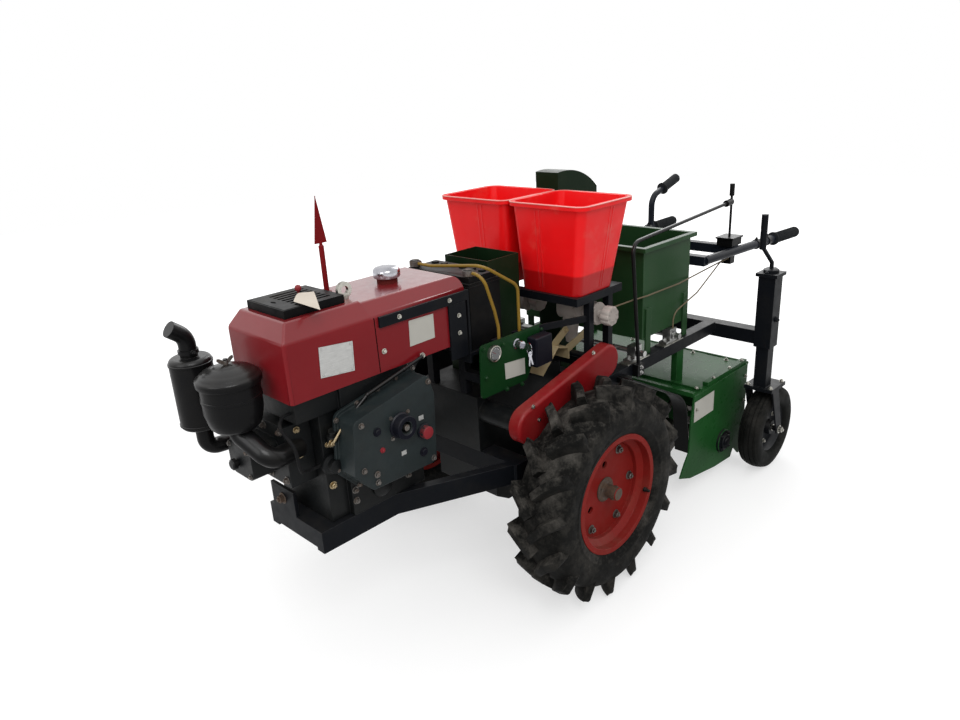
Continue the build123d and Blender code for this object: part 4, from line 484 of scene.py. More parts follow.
weld_gap = 0.00002
flat_angle = math.radians(0.4)
rounded_nodes = (
    (frame_black, dict(engine_frame=1.6, tank_bracket=1, hopper_stand=1, furrow_opener=1, rear_frame=1.6,
                       tail_leg_left=1.4, tail_leg_right=1.4, link_bar=0.8)),
    (cast_casing, dict(gearbox=2, cylinder_head=2, flywheel=1.5, clutch_pulley=1.5)),
    (block_iron, dict(engine_block=2.4)),
    (engine_green, dict(gear_cover=2.4)),
    (hood_red, dict(radiator_hood=9, fuel_tank=8)),
    (black_plastic, dict(radiator_grille=0.8, battery=1.6)),
    (satin_black, dict(air_filter=1, muffler=1, mud_guards=0.8, levers=0.8)),
    (cap_chrome, dict(fuel_cap=0.8)),
    (marker_red, dict(level_marker=0.5)),
    (zinc, dict(lifting_eye=0.6)),
    (belt_rubber, dict(drive_belts=0.8, fuel_hose=0.3)),
    (case_red, dict(chain_case=1.6)),
    (panel_green, dict(control_panel=1)),
    (dark_green, dict(tool_box=0.7, seed_elevator=0.8)),
    (hopper_orange, dict(fertilizer_hopper_left=1, fertilizer_hopper_right=1)),
    (meter_white, dict(fertilizer_meters=1.5)),
    (hopper_green, dict(seed_hopper=1)),
    (bright_steel, dict(seed_shafts=0.6)),
    (green_paint, dict(tiller_deck=1.2, tiller_side_left=0.9, tiller_side_right=0.9, rear_board=0.9)),
    (worn_steel, dict(tiller_rotor=1)),
    (rim_red, dict(rim_left=1.2, rim_right=1.2)),
    (handle_black, dict(handlebars=1)),
    (grip_rubber, dict(grips=1.5)),
    (lead_yellow, dict(battery_leads=0.3)),
    (cable_tan, dict(control_cables=0.2)),
)
# Hood and tank: broad folds with low angles, whose joint with each other stays tight
folded_nodes = {"radiator_hood", "fuel_tank"}
fold_angle = 20
joint_low = (503.5, 783)
joint_high = (544, 922)
joint_reach = 3
hood_middle_y = 7.5
# Where the outside begins: in front of this x, further out than this from the middle, above this z
outer_x, outer_reach, outer_z = 784, 122, 959
foot_z = 790


def outside(place):
    """Whether a corner of hood or tank lies on its outside and not in its hollow."""
    x, y, z = (place.x - axle_x) / mm, place.y / mm, place.z / mm
    return x > outer_x or abs(y - hood_middle_y) > outer_reach or z > outer_z


def near_joint(place):
    """Whether a corner lies on the slanted joint between hood and tank."""
    x, z = (place.x - axle_x) / mm, place.z / mm
    slope = (joint_high[0] - joint_low[0]) / (joint_high[1] - joint_low[1])
    return abs(x - joint_low[0] - (z - joint_low[1]) * slope) < joint_reach


def weigh_folds():
    """Rounding for the outer folds, most for the upright ones, and none along the joint, foot and inside."""
    weights = form.edges.layers.float.new("bevel_weight_edge")
    for edge in form.edges:
        places = [vert.co for vert in edge.verts]
        free = all(map(outside, places)) and not all(map(near_joint, places))
        free = free and max(place.z for place in places) / mm > foot_z
        upright = abs(places[0].z - places[1].z) > 0.9 * (places[0] - places[1]).length
        folded = edge.calc_face_angle(0) > math.radians(fold_angle)
        edge[weights] = (1.0 if upright else 0.55) if free and folded else 0.0


def rounded_copy(node_name, finish, radius):
    """The node's solid with welded corners, its flat faces joined, and its edges rounded."""
    form.from_mesh(nodes[node_name].data)
    bmesh.ops.remove_doubles(form, verts=form.verts, dist=weld_gap)
    bmesh.ops.dissolve_limit(form, angle_limit=flat_angle, verts=form.verts, edges=form.edges)
    folded = node_name in folded_nodes
    if folded:
        weigh_folds()
    sharp = fold_angle if folded else 34
    piece = finish_piece(node_name + "_shown", finish, body_of[node_name], replaces=(node_name,),
                         sharp=sharp, bevel=radius)
    if folded:
        rounding = piece.modifiers["rounded"]
        rounding.limit_method = "WEIGHT"
        rounding.use_clamp_overlap = False
        rounding.segments = 4


for finish, radii in rounded_nodes:
    for node_name, radius in radii.items():
        rounded_copy(node_name, finish, radius)


# Drive tyres: a round carcass with ridged walls, and curved lugs that run over the shoulder

drive_y = 395
drive_r = 320
lug_count = 16
lug_width = 25
lug_angle = math.radians(42)
lug_phase = math.radians(7.47)
lug_middle_y = 38.25
lug_half_reach = 48.3
shoulder_y = 79
tread_r = 300
# Half of the tyre's section: distance from the middle plane and radius, from the bead to the crown
tyre_section = (
    (64, 176), (69, 179.5), (72.5, 184), (74, 185), (75.5, 190), (77.5, 192), (78.8, 198), (80.6, 200),
    (80.9, 204), (80, 206), (81.6, 214), (82.4, 226), (82.3, 240), (80.5, 254), (76, 265), (69, 272),
    (60, 276), (42, 282), (20, 288.5), (0, 291),
)


def carcass_radius(y):
    """The carcass's radius at a distance from the middle plane, over the tread."""
    tread = [(section_y, radius) for section_y, radius in tyre_section if radius > 250]
    for (outer_y, outer_r), (inner_y, inner_r) in zip(tread, tread[1:]):
        if inner_y <= abs(y) <= outer_y:
            share = (abs(y) - inner_y) / (outer_y - inner_y)
            return inner_r + (outer_r - inner_r) * share
    return tread[0][1]


def round_the_axle(centre, angle, radius, y):
    return centre + Vector((radius * math.cos(angle), y, radius * math.sin(angle))) * mm


def rolled(centre, section, steps):
    """Loops of a section, a list of (y, radius), carried round the axle."""
    return [[round_the_axle(centre, angle, radius, y) for y, radius in section] for angle in circle(steps)]


def lug_point(centre, side, hand, lug_mid, along, across, top):
    """A point of a lug. along runs out to the shoulder, across is square to it, both in millimetres."""
    bend = 5 * (along / lug_half_reach) ** 2
    y = lug_middle_y + along * math.cos(lug_angle) - across * math.sin(lug_angle)
    sweep = along * math.sin(lug_angle) + across * math.cos(lug_angle) - bend
    over = max(0, y - shoulder_y)
    if top:
        radius = drive_r - 0.6 - 0.0011 * y * y - over * 2.7
        y = min(y, shoulder_y + over * 0.32)
    else:
        y = min(y, shoulder_y - 0.5)
        radius = carcass_radius(max(y, 0)) - 4 - over * 2.6
    return round_the_axle(centre, lug_mid + sweep / tread_r, radius, hand * side * y)


def add_lug(centre, side, hand, lug_mid):
    """One lug as a loft of seven-cornered sections with a worn, rounded crown."""
    steps = 12
    loops = []
    for k in range(steps + 1):
        along = -lug_half_reach + (2 * lug_half_reach + 11) * k / steps
        half = lug_width / 2 + 2.2 * k / steps
        loop = [lug_point(centre, side, hand, lug_mid, along, -half - 5, False)]
        edge = ((half + 1, 0.35), (half - 1, 0.9), (half - 4, 1))
        for across, drop in [(-out, share) for out, share in edge] + list(edge[::-1]):
            low = lug_point(centre, side, hand, lug_mid, along, across, False)
            high = lug_point(centre, side, hand, lug_mid, along, across, True)
            loop.append(low.lerp(high, drop))
        loop.append(lug_point(centre, side, hand, lug_mid, along, half + 5, False))
        loops.append(loop)
    loft(loops)


def drive_tyre(name, hand):
    """hand is 1 for the left tyre and -1 for its mirror image. Both sides' lugs stand half a step apart."""
    centre = at(0, hand * drive_y, drive_r)
    outer = [(hand * y, r) for y, r in tyre_section] + [(-hand * y, r) for y, r in tyre_section[-2::-1]]
    inner = [(-hand * 58, 172), (-hand * 64, 226), (0, 270), (hand * 64, 226), (hand * 58, 172)]
    loft(rolled(centre, outer + inner, 120), around=True)
    for side in (1, -1):
        for index in range(lug_count):
            lug_mid = math.tau / lug_count * (index + (side + 1) / 4) - lug_phase
            add_lug(centre, side, hand, lug_mid)
    finish_piece(name + "_rubber", tyre_rubber, body_of[name], slot="tyre", sharp=40, replaces=(name,))


for side_name, hand in both_sides:
    drive_tyre("tyre_" + side_name, hand)

# Tail wheels: ribbed tyre on a pressed black rim

tail_x = -985
tail_y = 452
tail_r = 160
# Section of the tail tyre: distance from the middle plane and radius, from bead to crown
tail_section = (
    (24, 90), (30, 92), (34, 97), (36, 99), (38, 106), (39.6, 114), (40, 126), (39, 136), (36, 145),
    (33.5, 147.5), (33, 151.5), (27, 154.5), (26, 151.5), (23, 152), (22, 156.5), (12, 158.6), (11, 155.5),
    (8.5, 155.7), (7.5, 159.3), (0, 160),
)
tail_rim = ((26, 97), (26, 91), (20, 86), (14, 80), (4, 76), (4, 38), (9, 30), (27, 26), (27, 14), (20, 13))
tail_well = ((-22, 92), (-28, 128), (28, 128), (22, 92))
tread_notches = 44


def tail_wheel(name, hand):
    centre = at(tail_x, hand * tail_y, tail_r)
    section = list(tail_section) + [(-y, r) for y, r in tail_section[-2::-1]]
    loops = []
    for k, angle in enumerate(circle(tread_notches * 3)):
        loop = []
        for y, radius in section:
            notch = 2.6 if k % 3 == 0 and radius > 152 and abs(y) > 20 else 0
            loop.append(round_the_axle(centre, angle, radius - notch, y))
        loop += [round_the_axle(centre, angle, radius, y) for y, radius in tail_well]
        loops.append(loop)
    loft(loops, around=True)
    rim = list(tail_rim) + [(-y, r) for y, r in tail_rim[::-1]]
    loft(rolled(centre, rim, 72), around=True, index=1)
    for side in (1, -1):
        lathe(((12.5, 26), (12.5, 30), (9.8, 31), (9.8, 47)), centre, (0, side, 0), 24, 2)
    for angle in circle(5):
        nut(round_the_axle(centre, angle, 58, hand * 4), (0, hand, 0), 11, 2)
    finish_piece(name + "_dressed", [tail_rubber, frame_black, zinc], body_of[name], slot="tyre",
                 replaces=(name,))


for side_name, hand in both_sides:
    tail_wheel("tail_wheel_" + side_name, hand)

# Drive wheel fittings: six nuts, the rusty stub with its cross pin, and the hub's flange, coloured near black
# as painted shade in the wheel's dish

disc_face_y = 415
nut_circle_r = 121
hub_y = 398
stub_profile = ((37, 0), (37, 3), (33, 6), (24, 7), (20.5, 10), (20.5, 12), (19.6, 13), (19.6, 44),
                (17.5, 48.4))


def wheel_fittings(side_name, hand):
    body = body_of["rim_" + side_name]
    centre = at(0, 0, drive_r)
    out = (0, hand, 0)
    for index in range(6):
        angle = math.radians(3 + 60 * index)
        nut(round_the_axle(centre, angle, nut_circle_r, hand * disc_face_y), out, 17)
    finish_piece("wheel_nuts_" + side_name, worn_steel, body, sharp=30)
    hub = at(0, hand * hub_y, drive_r)
    # The flange is near black: painted shade in the wheel's dish
    turned_piece("hub_flange_shade_" + side_name, shade_and_seam_dark, hub, 64, [((96, 0), (96, 6))], out, body, sharp=30)
    lathe(stub_profile, at(0, hand * disc_face_y, drive_r), out, 40)
    for turn in (0.6, 0.6 + math.pi / 2):
        across = Vector((math.cos(turn), 0, math.sin(turn))) * 21.5 * mm
        pin_place = at(0, hand * (disc_face_y + 33), drive_r)
        rod(pin_place - across, pin_place + across, 4, 12)
    finish_piece("stub_" + side_name, rusty_steel, body, sharp=30)
    valve = round_the_axle(centre, math.radians(200), 158, hand * 452)
    for length, radius, sides in ((20, 4.5, 12), (8, 7, 16)):
        rod(valve, valve + Vector((0, hand * length * mm, 0)), radius, sides, chamfer=1)
    finish_piece("tyre_valve_" + side_name, black_plastic, body, sharp=30)


for side_name, hand in both_sides:
    wheel_fittings(side_name, hand)

# Hoppers: a rolled rim painted pale as a highlight, and faint moulded ribs


def rounded_outline(x0, x1, y0, y1, z, radius, steps=6):
    """Points round a rectangle with rounded corners, in millimetres."""
    points = []
    for corner_x, corner_y, start in ((x1 - radius, y1 - radius, 0), (x0 + radius, y1 - radius, 90),
                                      (x0 + radius, y0 + radius, 180), (x1 - radius, y0 + radius, 270)):
        for k in range(steps + 1):
            angle = math.radians(start + 90 * k / steps)
            points.append(at(corner_x + radius * math.cos(angle), corner_y + radius * math.sin(angle), z))
    return points


hopper_top = (-335, -75, 1, 289)
hopper_foot = (-280, -103, 30, 246)
hopper_top_z = 1100
hopper_low_z = 836
hopper_rim_w = 11
# The rolled rim's section: how far outward and how high each corner lies
rim_section = ((-0.5, -1.2), (1.2, -1.2), (1.6, -0.4), (1.2, 0.8), (-2.2, 1.0), (-2.6, 0.2), (-2.6, -0.4))


def hopper_level(share):
    """The outside of the left hopper's wall at a share of its height, as x0, x1, y0, y1."""
    inset = (hopper_rim_w, -hopper_rim_w, hopper_rim_w, -hopper_rim_w)
    return [low + (high + step - low) * share for low, high, step in zip(hopper_foot, hopper_top, inset)]


def hopper_trim(side_name, hand):
    node = "fertilizer_hopper_" + side_name
    x0, x1, y0, y1 = hopper_top

    def outline(out, height):
        low_y, high_y = sorted((hand * (y0 - out), hand * (y1 + out)))
        return rounded_outline(x0 - out, x1 + out, low_y, high_y, hopper_top_z + height, 37 + out)

    loft([outline(out, height) for out, height in rim_section], around=True)
    finish_piece(node + "_rim", hopper_rim_highlight, slot="hopper_orange", sharp=50)
    for share in (0.36, 0.42):
        for axis_side in ("front", "outer"):
            loops = []
            for level in (0.05, 0.5, 0.93):
                x0, x1, y0, y1 = hopper_level(level)
                z = hopper_low_z + (hopper_top_z - hopper_low_z) * level
                loop = []
                for across, proud in ((-4, -0.5), (-3, 0.6), (3, 0.6), (4, -0.5)):
                    if axis_side == "front":
                        loop.append(at(x1 + proud, hand * (y0 + (y1 - y0) * share + across), z))
                    else:
                        loop.append(at(x0 + (x1 - x0) * share + across, hand * (y1 + proud), z))
                loops.append(loop)
            loft(loops)
    finish_piece(node + "_ribs", hopper_orange, slot="hopper_orange", sharp=70)


for side_name, hand in both_sides:
    hopper_trim(side_name, hand)

# Hood, tank and their plates

hood_left_y = 130


def blank_plate(name, y, corners, thickness, finish, rivets=False):
    """A blank plate with a raised border on a left face. corners are x and z, in order."""
    points = [at(x, y, z) for x, z in corners]
    centre = sum(points, Vector()) / 4
    slab(points, to_left, thickness)
    for start, end in zip(points, points[1:] + points[:1]):
        slab([start, end, end.lerp(centre, 0.06), start.lerp(centre, 0.06)], to_left, thickness + 0.5)
    if rivets:
        for point in points:
            spot = point.lerp(centre, 0.16) + Vector(to_left) * thickness * mm
            lathe(((2.6, 0), (2.4, 0.7), (1.2, 1.3)), spot, to_left, 12)
    finish_piece(name, finish, sharp=30)


hood_plate = ((698, 895), (605, 885), (608, 812), (702, 822))
blank_plate("hood_plate", hood_left_y, hood_plate, 0.8, plate_silver, rivets=True)
blank_plate("tank_plate", hood_left_y, ((432, 888), (350, 886), (350, 822), (434, 821)), 0.5, plate_white)
strap_bolts = ((465, 137, 909), (296, 137, 909), (266, 137, 861), (267, 137, 813))
nuts("tank_strap_bolts", zinc, ((to_left, 9, 0, [(516, hood_left_y, 833)]), (to_left, 8, 0.15, strap_bolts)))
boxes("tank_end_plate", frame_black, [((238, 130.5, 742), (299, 136.6, 894))], bevel=1)

# Seam between hood and tank: a dark line, upright as in the photo
seam = ((532, 783), (534.5, 783), (537.5, 922), (535, 922))
for side_y, out, corners in ((130, 1, seam), (-115, -1, seam[::-1])):
    slab([at(x, side_y, z) for x, z in corners], (0, out, 0), 0.25)
finish_piece("hood_seam", shade_and_seam_dark, sharp=30)

# Filler cap: red-brown neck and domed cap
cap_centre = at(388, 5, 960)
lathe(((27, 0), (27, 13.8)), cap_centre, to_top, 40, 1)
cap_profile = (
    (31, 13.6), (34.6, 14.6), (35.6, 19), (35.6, 29), (34.6, 34), (30, 39), (22, 41.4), (12, 42.6), (3, 43),
)
lathe(cap_profile, cap_centre, to_top, 60)
finish_piece("filler_cap", [cap_chrome, red_brown], slot="cap_chrome")

# Radiator grille: its flat front plate with the oval hole painted on as a dark oval of shade, the marker's
# rod, the float pin and a blank tag
boxes("grille_plate", black_plastic, [((702, -69, 983.5), (743, 85, 986.2))], bevel=1)
# The oval hole is a thin near-black sheet on the plate: painted shade, not an opening
oval = [at(723 + 4.5 * math.sin(angle), 8 + 10 * math.cos(angle), 986.2) for angle in circle(24)]
slab(oval, to_top, 0.2)
finish_piece("grille_hole_shade", shade_and_seam_dark)
rod(at(571, 0, 977), at(571, 0, 1090), 6.5, 20, chamfer=1.5)
finish_piece("marker_rod", marker_red)
pin_profile = ((3, 0), (3, 22), (6, 24), (8, 28), (8, 33), (5.5, 37), (2, 38.5))
turned_piece("float_pin", cap_red, at(634, -25, 965), 24, [pin_profile])
# The tag's long edges, each from its far end to its near end
tag_left = Vector((643, -6, 988)), Vector((700, 58, 988))
tag_right = Vector((616, 14, 988)), Vector((700, 163, 988))
tag_loops = []
for k in range(7):
    share = k / 6
    curl = 5 * math.sin(share * math.pi) + 3 * share
    left_edge = tag_left[0].lerp(tag_left[1], share) + Vector((0, 0, curl))
    right_edge = tag_right[0].lerp(tag_right[1], share) + Vector((0, 0, curl * 0.4))
    low = [at(*left_edge), at(*right_edge)]
    thick = Vector((0, 0, 0.7 * mm))
    tag_loops.append([low[0], low[1], low[1] + thick, low[0] + thick])
loft(tag_loops)
finish_piece("paper_tag", tag_white, sharp=60)

# Air filter: a rounded bowl, a clamp band, a creased lid and its wing nut
bowl = ((44.5, 727.5), (50, 728.5), (57, 736), (62, 752), (66.4, 772), (66.6, 800), (68.2, 801), (68.2, 807),
        (66.6, 808), (66.6, 836))
lid = ((71.5, 836), (73, 838), (73, 850), (71, 853.5), (67, 855), (65, 858), (57, 864.5), (54, 865.2),
       (52, 867), (32, 874.2), (28, 875.2), (26, 876.8), (10, 878.8))
turned_piece("air_filter_shell", satin_black, at(862, 10, 0), 72, [bowl, lid], sharp=40)
rod(at(862, 10, 877), at(862, 10, 889), 6, 16, chamfer=1.5)
for out in (1, -1):
    wing = ((3, 880), (9, 881), (20, 890), (19, 896), (13, 895), (3, 888))
    slab([at(862 + out * x, 8.8, z) for x, z in wing], to_left, 2.4)
finish_piece("air_filter_wing_nut", worn_steel, bevel=0.5)

# Muffler: rolled end seams and the clamp on its stack
muffler_foot = at(884, -122, 0)
for z in (712, 862):
    lathe(((49, z - 3), (50.6, z - 2), (50.6, z + 2), (49, z + 3)), muffler_foot, to_top, 60)
lathe(((20, 884), (23.5, 884.5), (23.5, 893.5), (20, 894)), muffler_foot, to_top, 40)
nut(at(884, -97, 889), to_left, 9)
finish_piece("muffler_seams", satin_black, sharp=30)

# Gear cover: bolts round its edge, crank ring, round oil plug, sight plugs and two blank labels

cover_face_y = 190
cover_lip_y = 128
lip_bolts = ((688, 580), (676, 706), (612, 728), (548, 743), (490, 754), (432, 763), (413, 700), (416, 610),
             (424, 512), (530, 512), (632, 516))
face_bolts = ((650, 700), (437, 742), (438, 530), (620, 538), (656, 584))
nuts("cover_bolts", worn_steel, (
    (to_left, 9, 0, [(x, cover_lip_y, z) for x, z in lip_bolts]),
    (to_left, 10, 0, [(x, cover_face_y, z) for x, z in face_bolts]),
))
boss_place = at(536, cover_face_y, 660)
boss = ((33, 0), (33, 3), (30, 6), (30, 27), (28, 28.5), (19, 28.5), (17, 26.5), (15.5, 20))
lathe(boss, boss_place, to_left, 56, 1, False)
lathe(((8, 20), (8, 27), (6.5, 28)), boss_place, to_left, 24, 2)
for k in range(4):
    angle = math.tau * (k + 0.5) / 4
    spot = boss_place + Vector((38 * math.cos(angle), 0, 38 * math.sin(angle))) * mm
    nut(spot, to_left, 7, 2, thread=0)
# Sight plugs: x, z, radius and which of the finishes
for plug_x, plug_z, plug_r, which in ((607, 668, 8, 1), (597, 616, 4, 3), (470, 560, 9, 1), (620, 560, 6, 2)):
    profile = ((plug_r + 3, 0), (plug_r + 3, 2), (plug_r, 2.6), (plug_r, 6), (plug_r - 1.5, 7))
    lathe(profile, at(plug_x, cover_face_y, plug_z), to_left, 28, which)
finish_piece("cover_fittings", [engine_green, relay_plastic, worn_steel, cap_red], sharp=30)
plug_place = at(465, cover_face_y, 617)
lathe(((20, 0), (20, 4), (17, 6)), plug_place, to_left, 40, 1)
lathe(((17, 5), (17, 18), (15.5, 20.5), (12, 21.4), (3, 21.8)), plug_place, to_left, 40)
finish_piece("oil_plug", [cap_red, relay_plastic])
for mark_x, mark_z in ((469, 655), (533, 583)):
    corners = [(mark_x + right, mark_z + up) for right, up in ((8, 6), (-8, 6), (-8, -6), (8, -6))]
    blank_plate("cover_label_%d" % mark_x, cover_face_y, corners, 0.3, plate_silver)

# Speed rod over the gear cover, with brass ends, and plugs on the barrel
rod_places = [at(696, 134, 655), at(664, 136, 690), at(587, 140, 745), at(470, 142, 774), at(404, 142, 790)]
for start, end in zip(rod_places[1:], rod_places[2:]):
    rod(start, end, 4.5, 14, 0)
rod(rod_places[0], rod_places[1], 4, 14, 1)
for place in rod_places[1:4]:
    lathe(((4, -5), (5.6, -3), (5.6, 3), (4, 5)), place, rod_places[3] - rod_places[1], 16, 0)
nut(rod_places[0] - Vector((0, 6 * mm, 0)), to_left, 12, 1)
nut(rod_places[4] - Vector((0, 4 * mm, 0)), to_left, 10, 2)
finish_piece("speed_rod", [satin_black, brass, zinc], sharp=30)
nuts("brass_plugs", brass, (
    (to_left, 11, 0.25, ((744, 60, 688), (744, 60, 622))),
    (to_left, 13, 0.25, [(690, 100, 530)]),
    (to_left, 10, 0.25, [(690, 100, 640)]),
))

# Cylinder head and block fittings: studs, pump housing, flange and foot bar
side_studs = ((470, 470), (560, 470), (640, 470), (470, 500), (640, 500))
nuts("engine_studs", worn_steel, (
    (to_front, 13, 0.25, [(778, y, z) for y in (-96, -26, 44) for z in (562, 690)]),
    (to_front, 9, 0, [(852, y, z) for y, z in ((-70, 592), (12, 592), (-70, 656), (12, 656))]),
    (to_left, 12, 0.25, [(x, 118, z) for x, z in side_studs]),
))
lathe(((26, 0), (26, 10), (18, 14), (18, 30), (9, 34)), at(690, 100, 590), to_left, 32)
lathe(((16, 0), (16, 26), (11, 30), (11, 44)), at(676, 108, 640), (0.2, 0.3, 1), 24)
lathe(((30, 0), (30, 8), (22, 12)), at(560, 118, 480), to_left, 32)
box((560, 60, 430), (676, 96, 448))
finish_piece("engine_side_parts", block_iron, sharp=30, bevel=1.5)
knob_profile = ((9, 0), (9, 4), (14, 6), (14, 15), (10, 18))
turned_piece("valve_cover_knob", satin_black, at(852, -43, 612), 24, [knob_profile], to_front)
nuts("hitch_bolt", rusty_steel, [(to_front, 19, 0.25, [(751, -44, 468)])])

# Control panel: gauge, key switch with its keys, relay cover, sockets and bolts

panel_face_y = 181
gauge_place = at(190, panel_face_y, 742)
lathe(((23, 0), (23, 9), (22.5, 11), (20.5, 11.4), (19.6, 10.2)), gauge_place, to_left, 48, 0, False)
lathe(((18.6, 10.1), (18.6, 10.6)), gauge_place, to_left, 40, 1)
for k in range(11):
    angle = math.radians(210 - 24 * k)
    outward = Vector((-math.cos(angle), 0, math.sin(angle)))
    start = gauge_place + outward * 13.5 * mm + Vector((0, 10.9 * mm, 0))
    rod(start, start + outward * (3.2 if k % 5 == 0 else 1.8) * mm, 0.5, 6, 2)
needle = gauge_place + Vector((0, 11 * mm, 0))
rod(needle, needle + Vector((11 * mm, 0, 8 * mm)), 0.6, 6, 3)
finish_piece("panel_gauge", [zinc, dial_glass, dial_white, cap_red], sharp=30)
barrel = ((15, 0), (15, 3), (12, 4), (12, 20), (11, 24.4), (5, 25))
lathe(barrel, at(95, panel_face_y, 742), to_left, 32)
key_front = at(95, panel_face_y + 25, 742)
box((94, panel_face_y + 23, 737), (96, panel_face_y + 45, 747))
head = [key_front + Vector((0.9, 20 + 12 * math.cos(a), 11 * math.sin(a))) * mm for a in circle(20)]
slab(head, (-1, 0, 0), 1.8)
ring_places = [key_front + Vector((0, 24 + 9 * math.sin(a), -12 + 9 * math.cos(a))) * mm for a in circle(14)]
for start, end in zip(ring_places, ring_places[1:] + ring_places[:1]):
    rod(start, end, 0.9, 8)
for tilt, drop in ((0.25, -22), (-0.2, -21)):
    hang = key_front + Vector((0, 24, drop)) * mm
    down = Vector((math.sin(tilt), 0.1, -math.cos(tilt)))
    side = Vector((math.cos(tilt), 0, math.sin(tilt)))
    half = side * 3 * mm
    blade = [hang + half, hang + half + down * 30 * mm, hang - half + down * 34 * mm, hang - half]
    slab(blade, to_left, 1.6)
    slab([hang + (side * math.cos(a) + down * math.sin(a)) * 8 * mm for a in circle(16)], to_left, 1.9)
finish_piece("key_switch", cap_chrome, sharp=30)
boxes("relay_cover", relay_plastic,
      [((15 - 36.4, panel_face_y, 706 - 44.4), (15 + 36.4, panel_face_y + 37.4, 706 + 44.4))], bevel=6)
boxes("panel_sockets", relay_plastic, [((x, 148, 734), (x + 34, 176, 767)) for x in (43, 128)], bevel=1.2)
panel_bolts = ((226, 762), (222, 679), (141, 620), (77, 614), (-12, 757), (150, 756))
nuts("panel_bolts", panel_green, [(to_left, 9, 0.2, [(x, panel_face_y, z) for x, z in panel_bolts])])
blank_plate("panel_label", panel_face_y, ((146, 698), (62, 690), (62, 642), (144, 650)), 0.4, plate_white)

# Battery: lid line, filler plugs and the clamps on its terminals
for plug in range(6):
    lathe(((11, 0), (11, 4), (9, 6)), at(128, -95 + 38 * plug, 946), to_top, 24)
box((93, -129, 918), (215, 129, 922))
finish_piece("battery_trim", black_plastic, bevel=0.8)
for side in (1, -1):
    post = at(194, side * 108, 946)
    lathe(((16.5, 3), (16.5, 17), (15, 18.5)), post, to_top, 28)
    lathe(((9.5, 17), (8.5, 20.6)), post, to_top, 24)
    nut(at(194 - 17, side * 108, 956), (-1, 0, 0), 8)
finish_piece("battery_clamps", worn_steel, sharp=30)

# Chain case: its cover's bolts
nuts("case_bolts", zinc, [(to_left, 8, 0, ((-108, 296, 679), (164, 296, 605), (141, 296, 558)))])

# Metering units: a scalloped knob and a ribbed roller body
for centre_y in (137, -138):
    for angle in circle(9):
        lobe = at(-212 + 20 * math.cos(angle), centre_y + 127, 762 + 20 * math.sin(angle))
        lathe(((8.6, 0), (10, 2), (10, 27), (8.2, 29.6)), lobe, to_left, 16)
    for rib in range(4):
        rib_place = at(-212, centre_y + 40 + 20 * rib, 762)
        lathe(((33, 0), (35, 0.8), (35, 4.2), (33, 5)), rib_place, to_left, 48)
finish_piece("meter_knobs", meter_white, slot="meter_white", sharp=40)

# Zinc plates and the folded shaft guard between the panel and the chain case
for start, end, y in (((-95, 668), (-172, 712), 150), ((-165, 642), (-292, 684), 152)):
    run = Vector((end[0] - start[0], 0, end[1] - start[1])).normalized()
    square = Vector((-run.z, 0, run.x)) * 13
    low, high = Vector((start[0], y, start[1])), Vector((end[0], y, end[1]))
    corners = (low - square, high - square, high + square, low + square)
    slab([at(*corner) for corner in corners], to_left, 4)
    nut(at(end[0] + 10 * -run.x, y + 4, end[1] + 10 * -run.z), to_left, 11)
guard = ((-21, 606), (-60, 640), (-97, 676), (-150, 660), (-152, 622), (-148, 622), (-146, 657), (-97, 671),
         (-62, 637), (-24, 603))
slab([at(x, 120, z) for x, z in guard], to_left, 56)
finish_piece("zinc_plates", zinc_yellow, sharp=30, bevel=0.6)

# Seed hopper: the walls' straight skirt round the funnel
skirt = (((-443, -249, 615), (-441, 249, 669)), ((-729, -249, 615), (-727, 249, 669)),
         ((-727, 247, 615), (-443, 249, 669)), ((-727, -249, 615), (-443, -247, 669)))
boxes("seed_hopper_skirt", hopper_green, skirt, slot="dark_green", sharp=30)

# Rear frame: bearing bolts, bright shims and the lever foot's bolts
shims = []
for shaft_x in (-396, -611):
    for side in (1, -1):
        for end in (-31, 31):
            nut(at(shaft_x + end, side * 250, 572), to_top, 13)
        low, high = sorted((side * 231, side * 269))
        shims.append(((shaft_x - 62, low, 560), (shaft_x + 62, high, 563)))
        lathe(((14, 0), (14, 6), (12, 7)), at(shaft_x, side * 266, 588), (0, side, 0), 28)
for bolt_z in (532, 550):
    nut(at(-375, 290, bolt_z), to_left, 9)
finish_piece("rear_frame_bolts", bright_steel, sharp=30)
boxes("bearing_shims", zinc, shims, bevel=0.5)

# Tiller: bolts on the deck and sides, the blank label, and the bearing with its cap
side_bolts = ((-985, 340), (-985, 240), (-985, 140), (-620, 330))
nuts("tiller_bolts", zinc, (
    (to_top, 9, 0, [(x, side * 346, 401) for x in (-640, -760, -880, -975) for side in (1, -1)]),
    (to_top, 11, 0.25, [(-985, y, 385) for y in (-280, -140, 140, 280)]),
    (to_left, 9, 0.25, [(x, 360, z) for x, z in side_bolts]),
    ((0, -1, 0), 9, 0.25, [(x, -360, z) for x, z in side_bolts]),
))
blank_plate("tiller_label", 360, ((-606, 362), (-742, 362), (-742, 286), (-606, 286)), 0.5, plate_white)
bearing = ((45, 0), (45, 6), (40, 9.6), (30, 10), (30, 16), (27, 19), (15, 19), (14, 23), (9, 23.5))
for side_name, side in both_sides:
    hub = at(-828, side * 360, 131)
    lathe(bearing, hub, (0, side, 0), 48)
    for k in range(4):
        angle = math.tau * (k + 0.5) / 4
        nut(hub + Vector((37 * math.cos(angle), side * 9, 37 * math.sin(angle))) * mm, (0, side, 0), 11)
    finish_piece("tiller_bearing_" + side_name, frame_black, sharp=30)

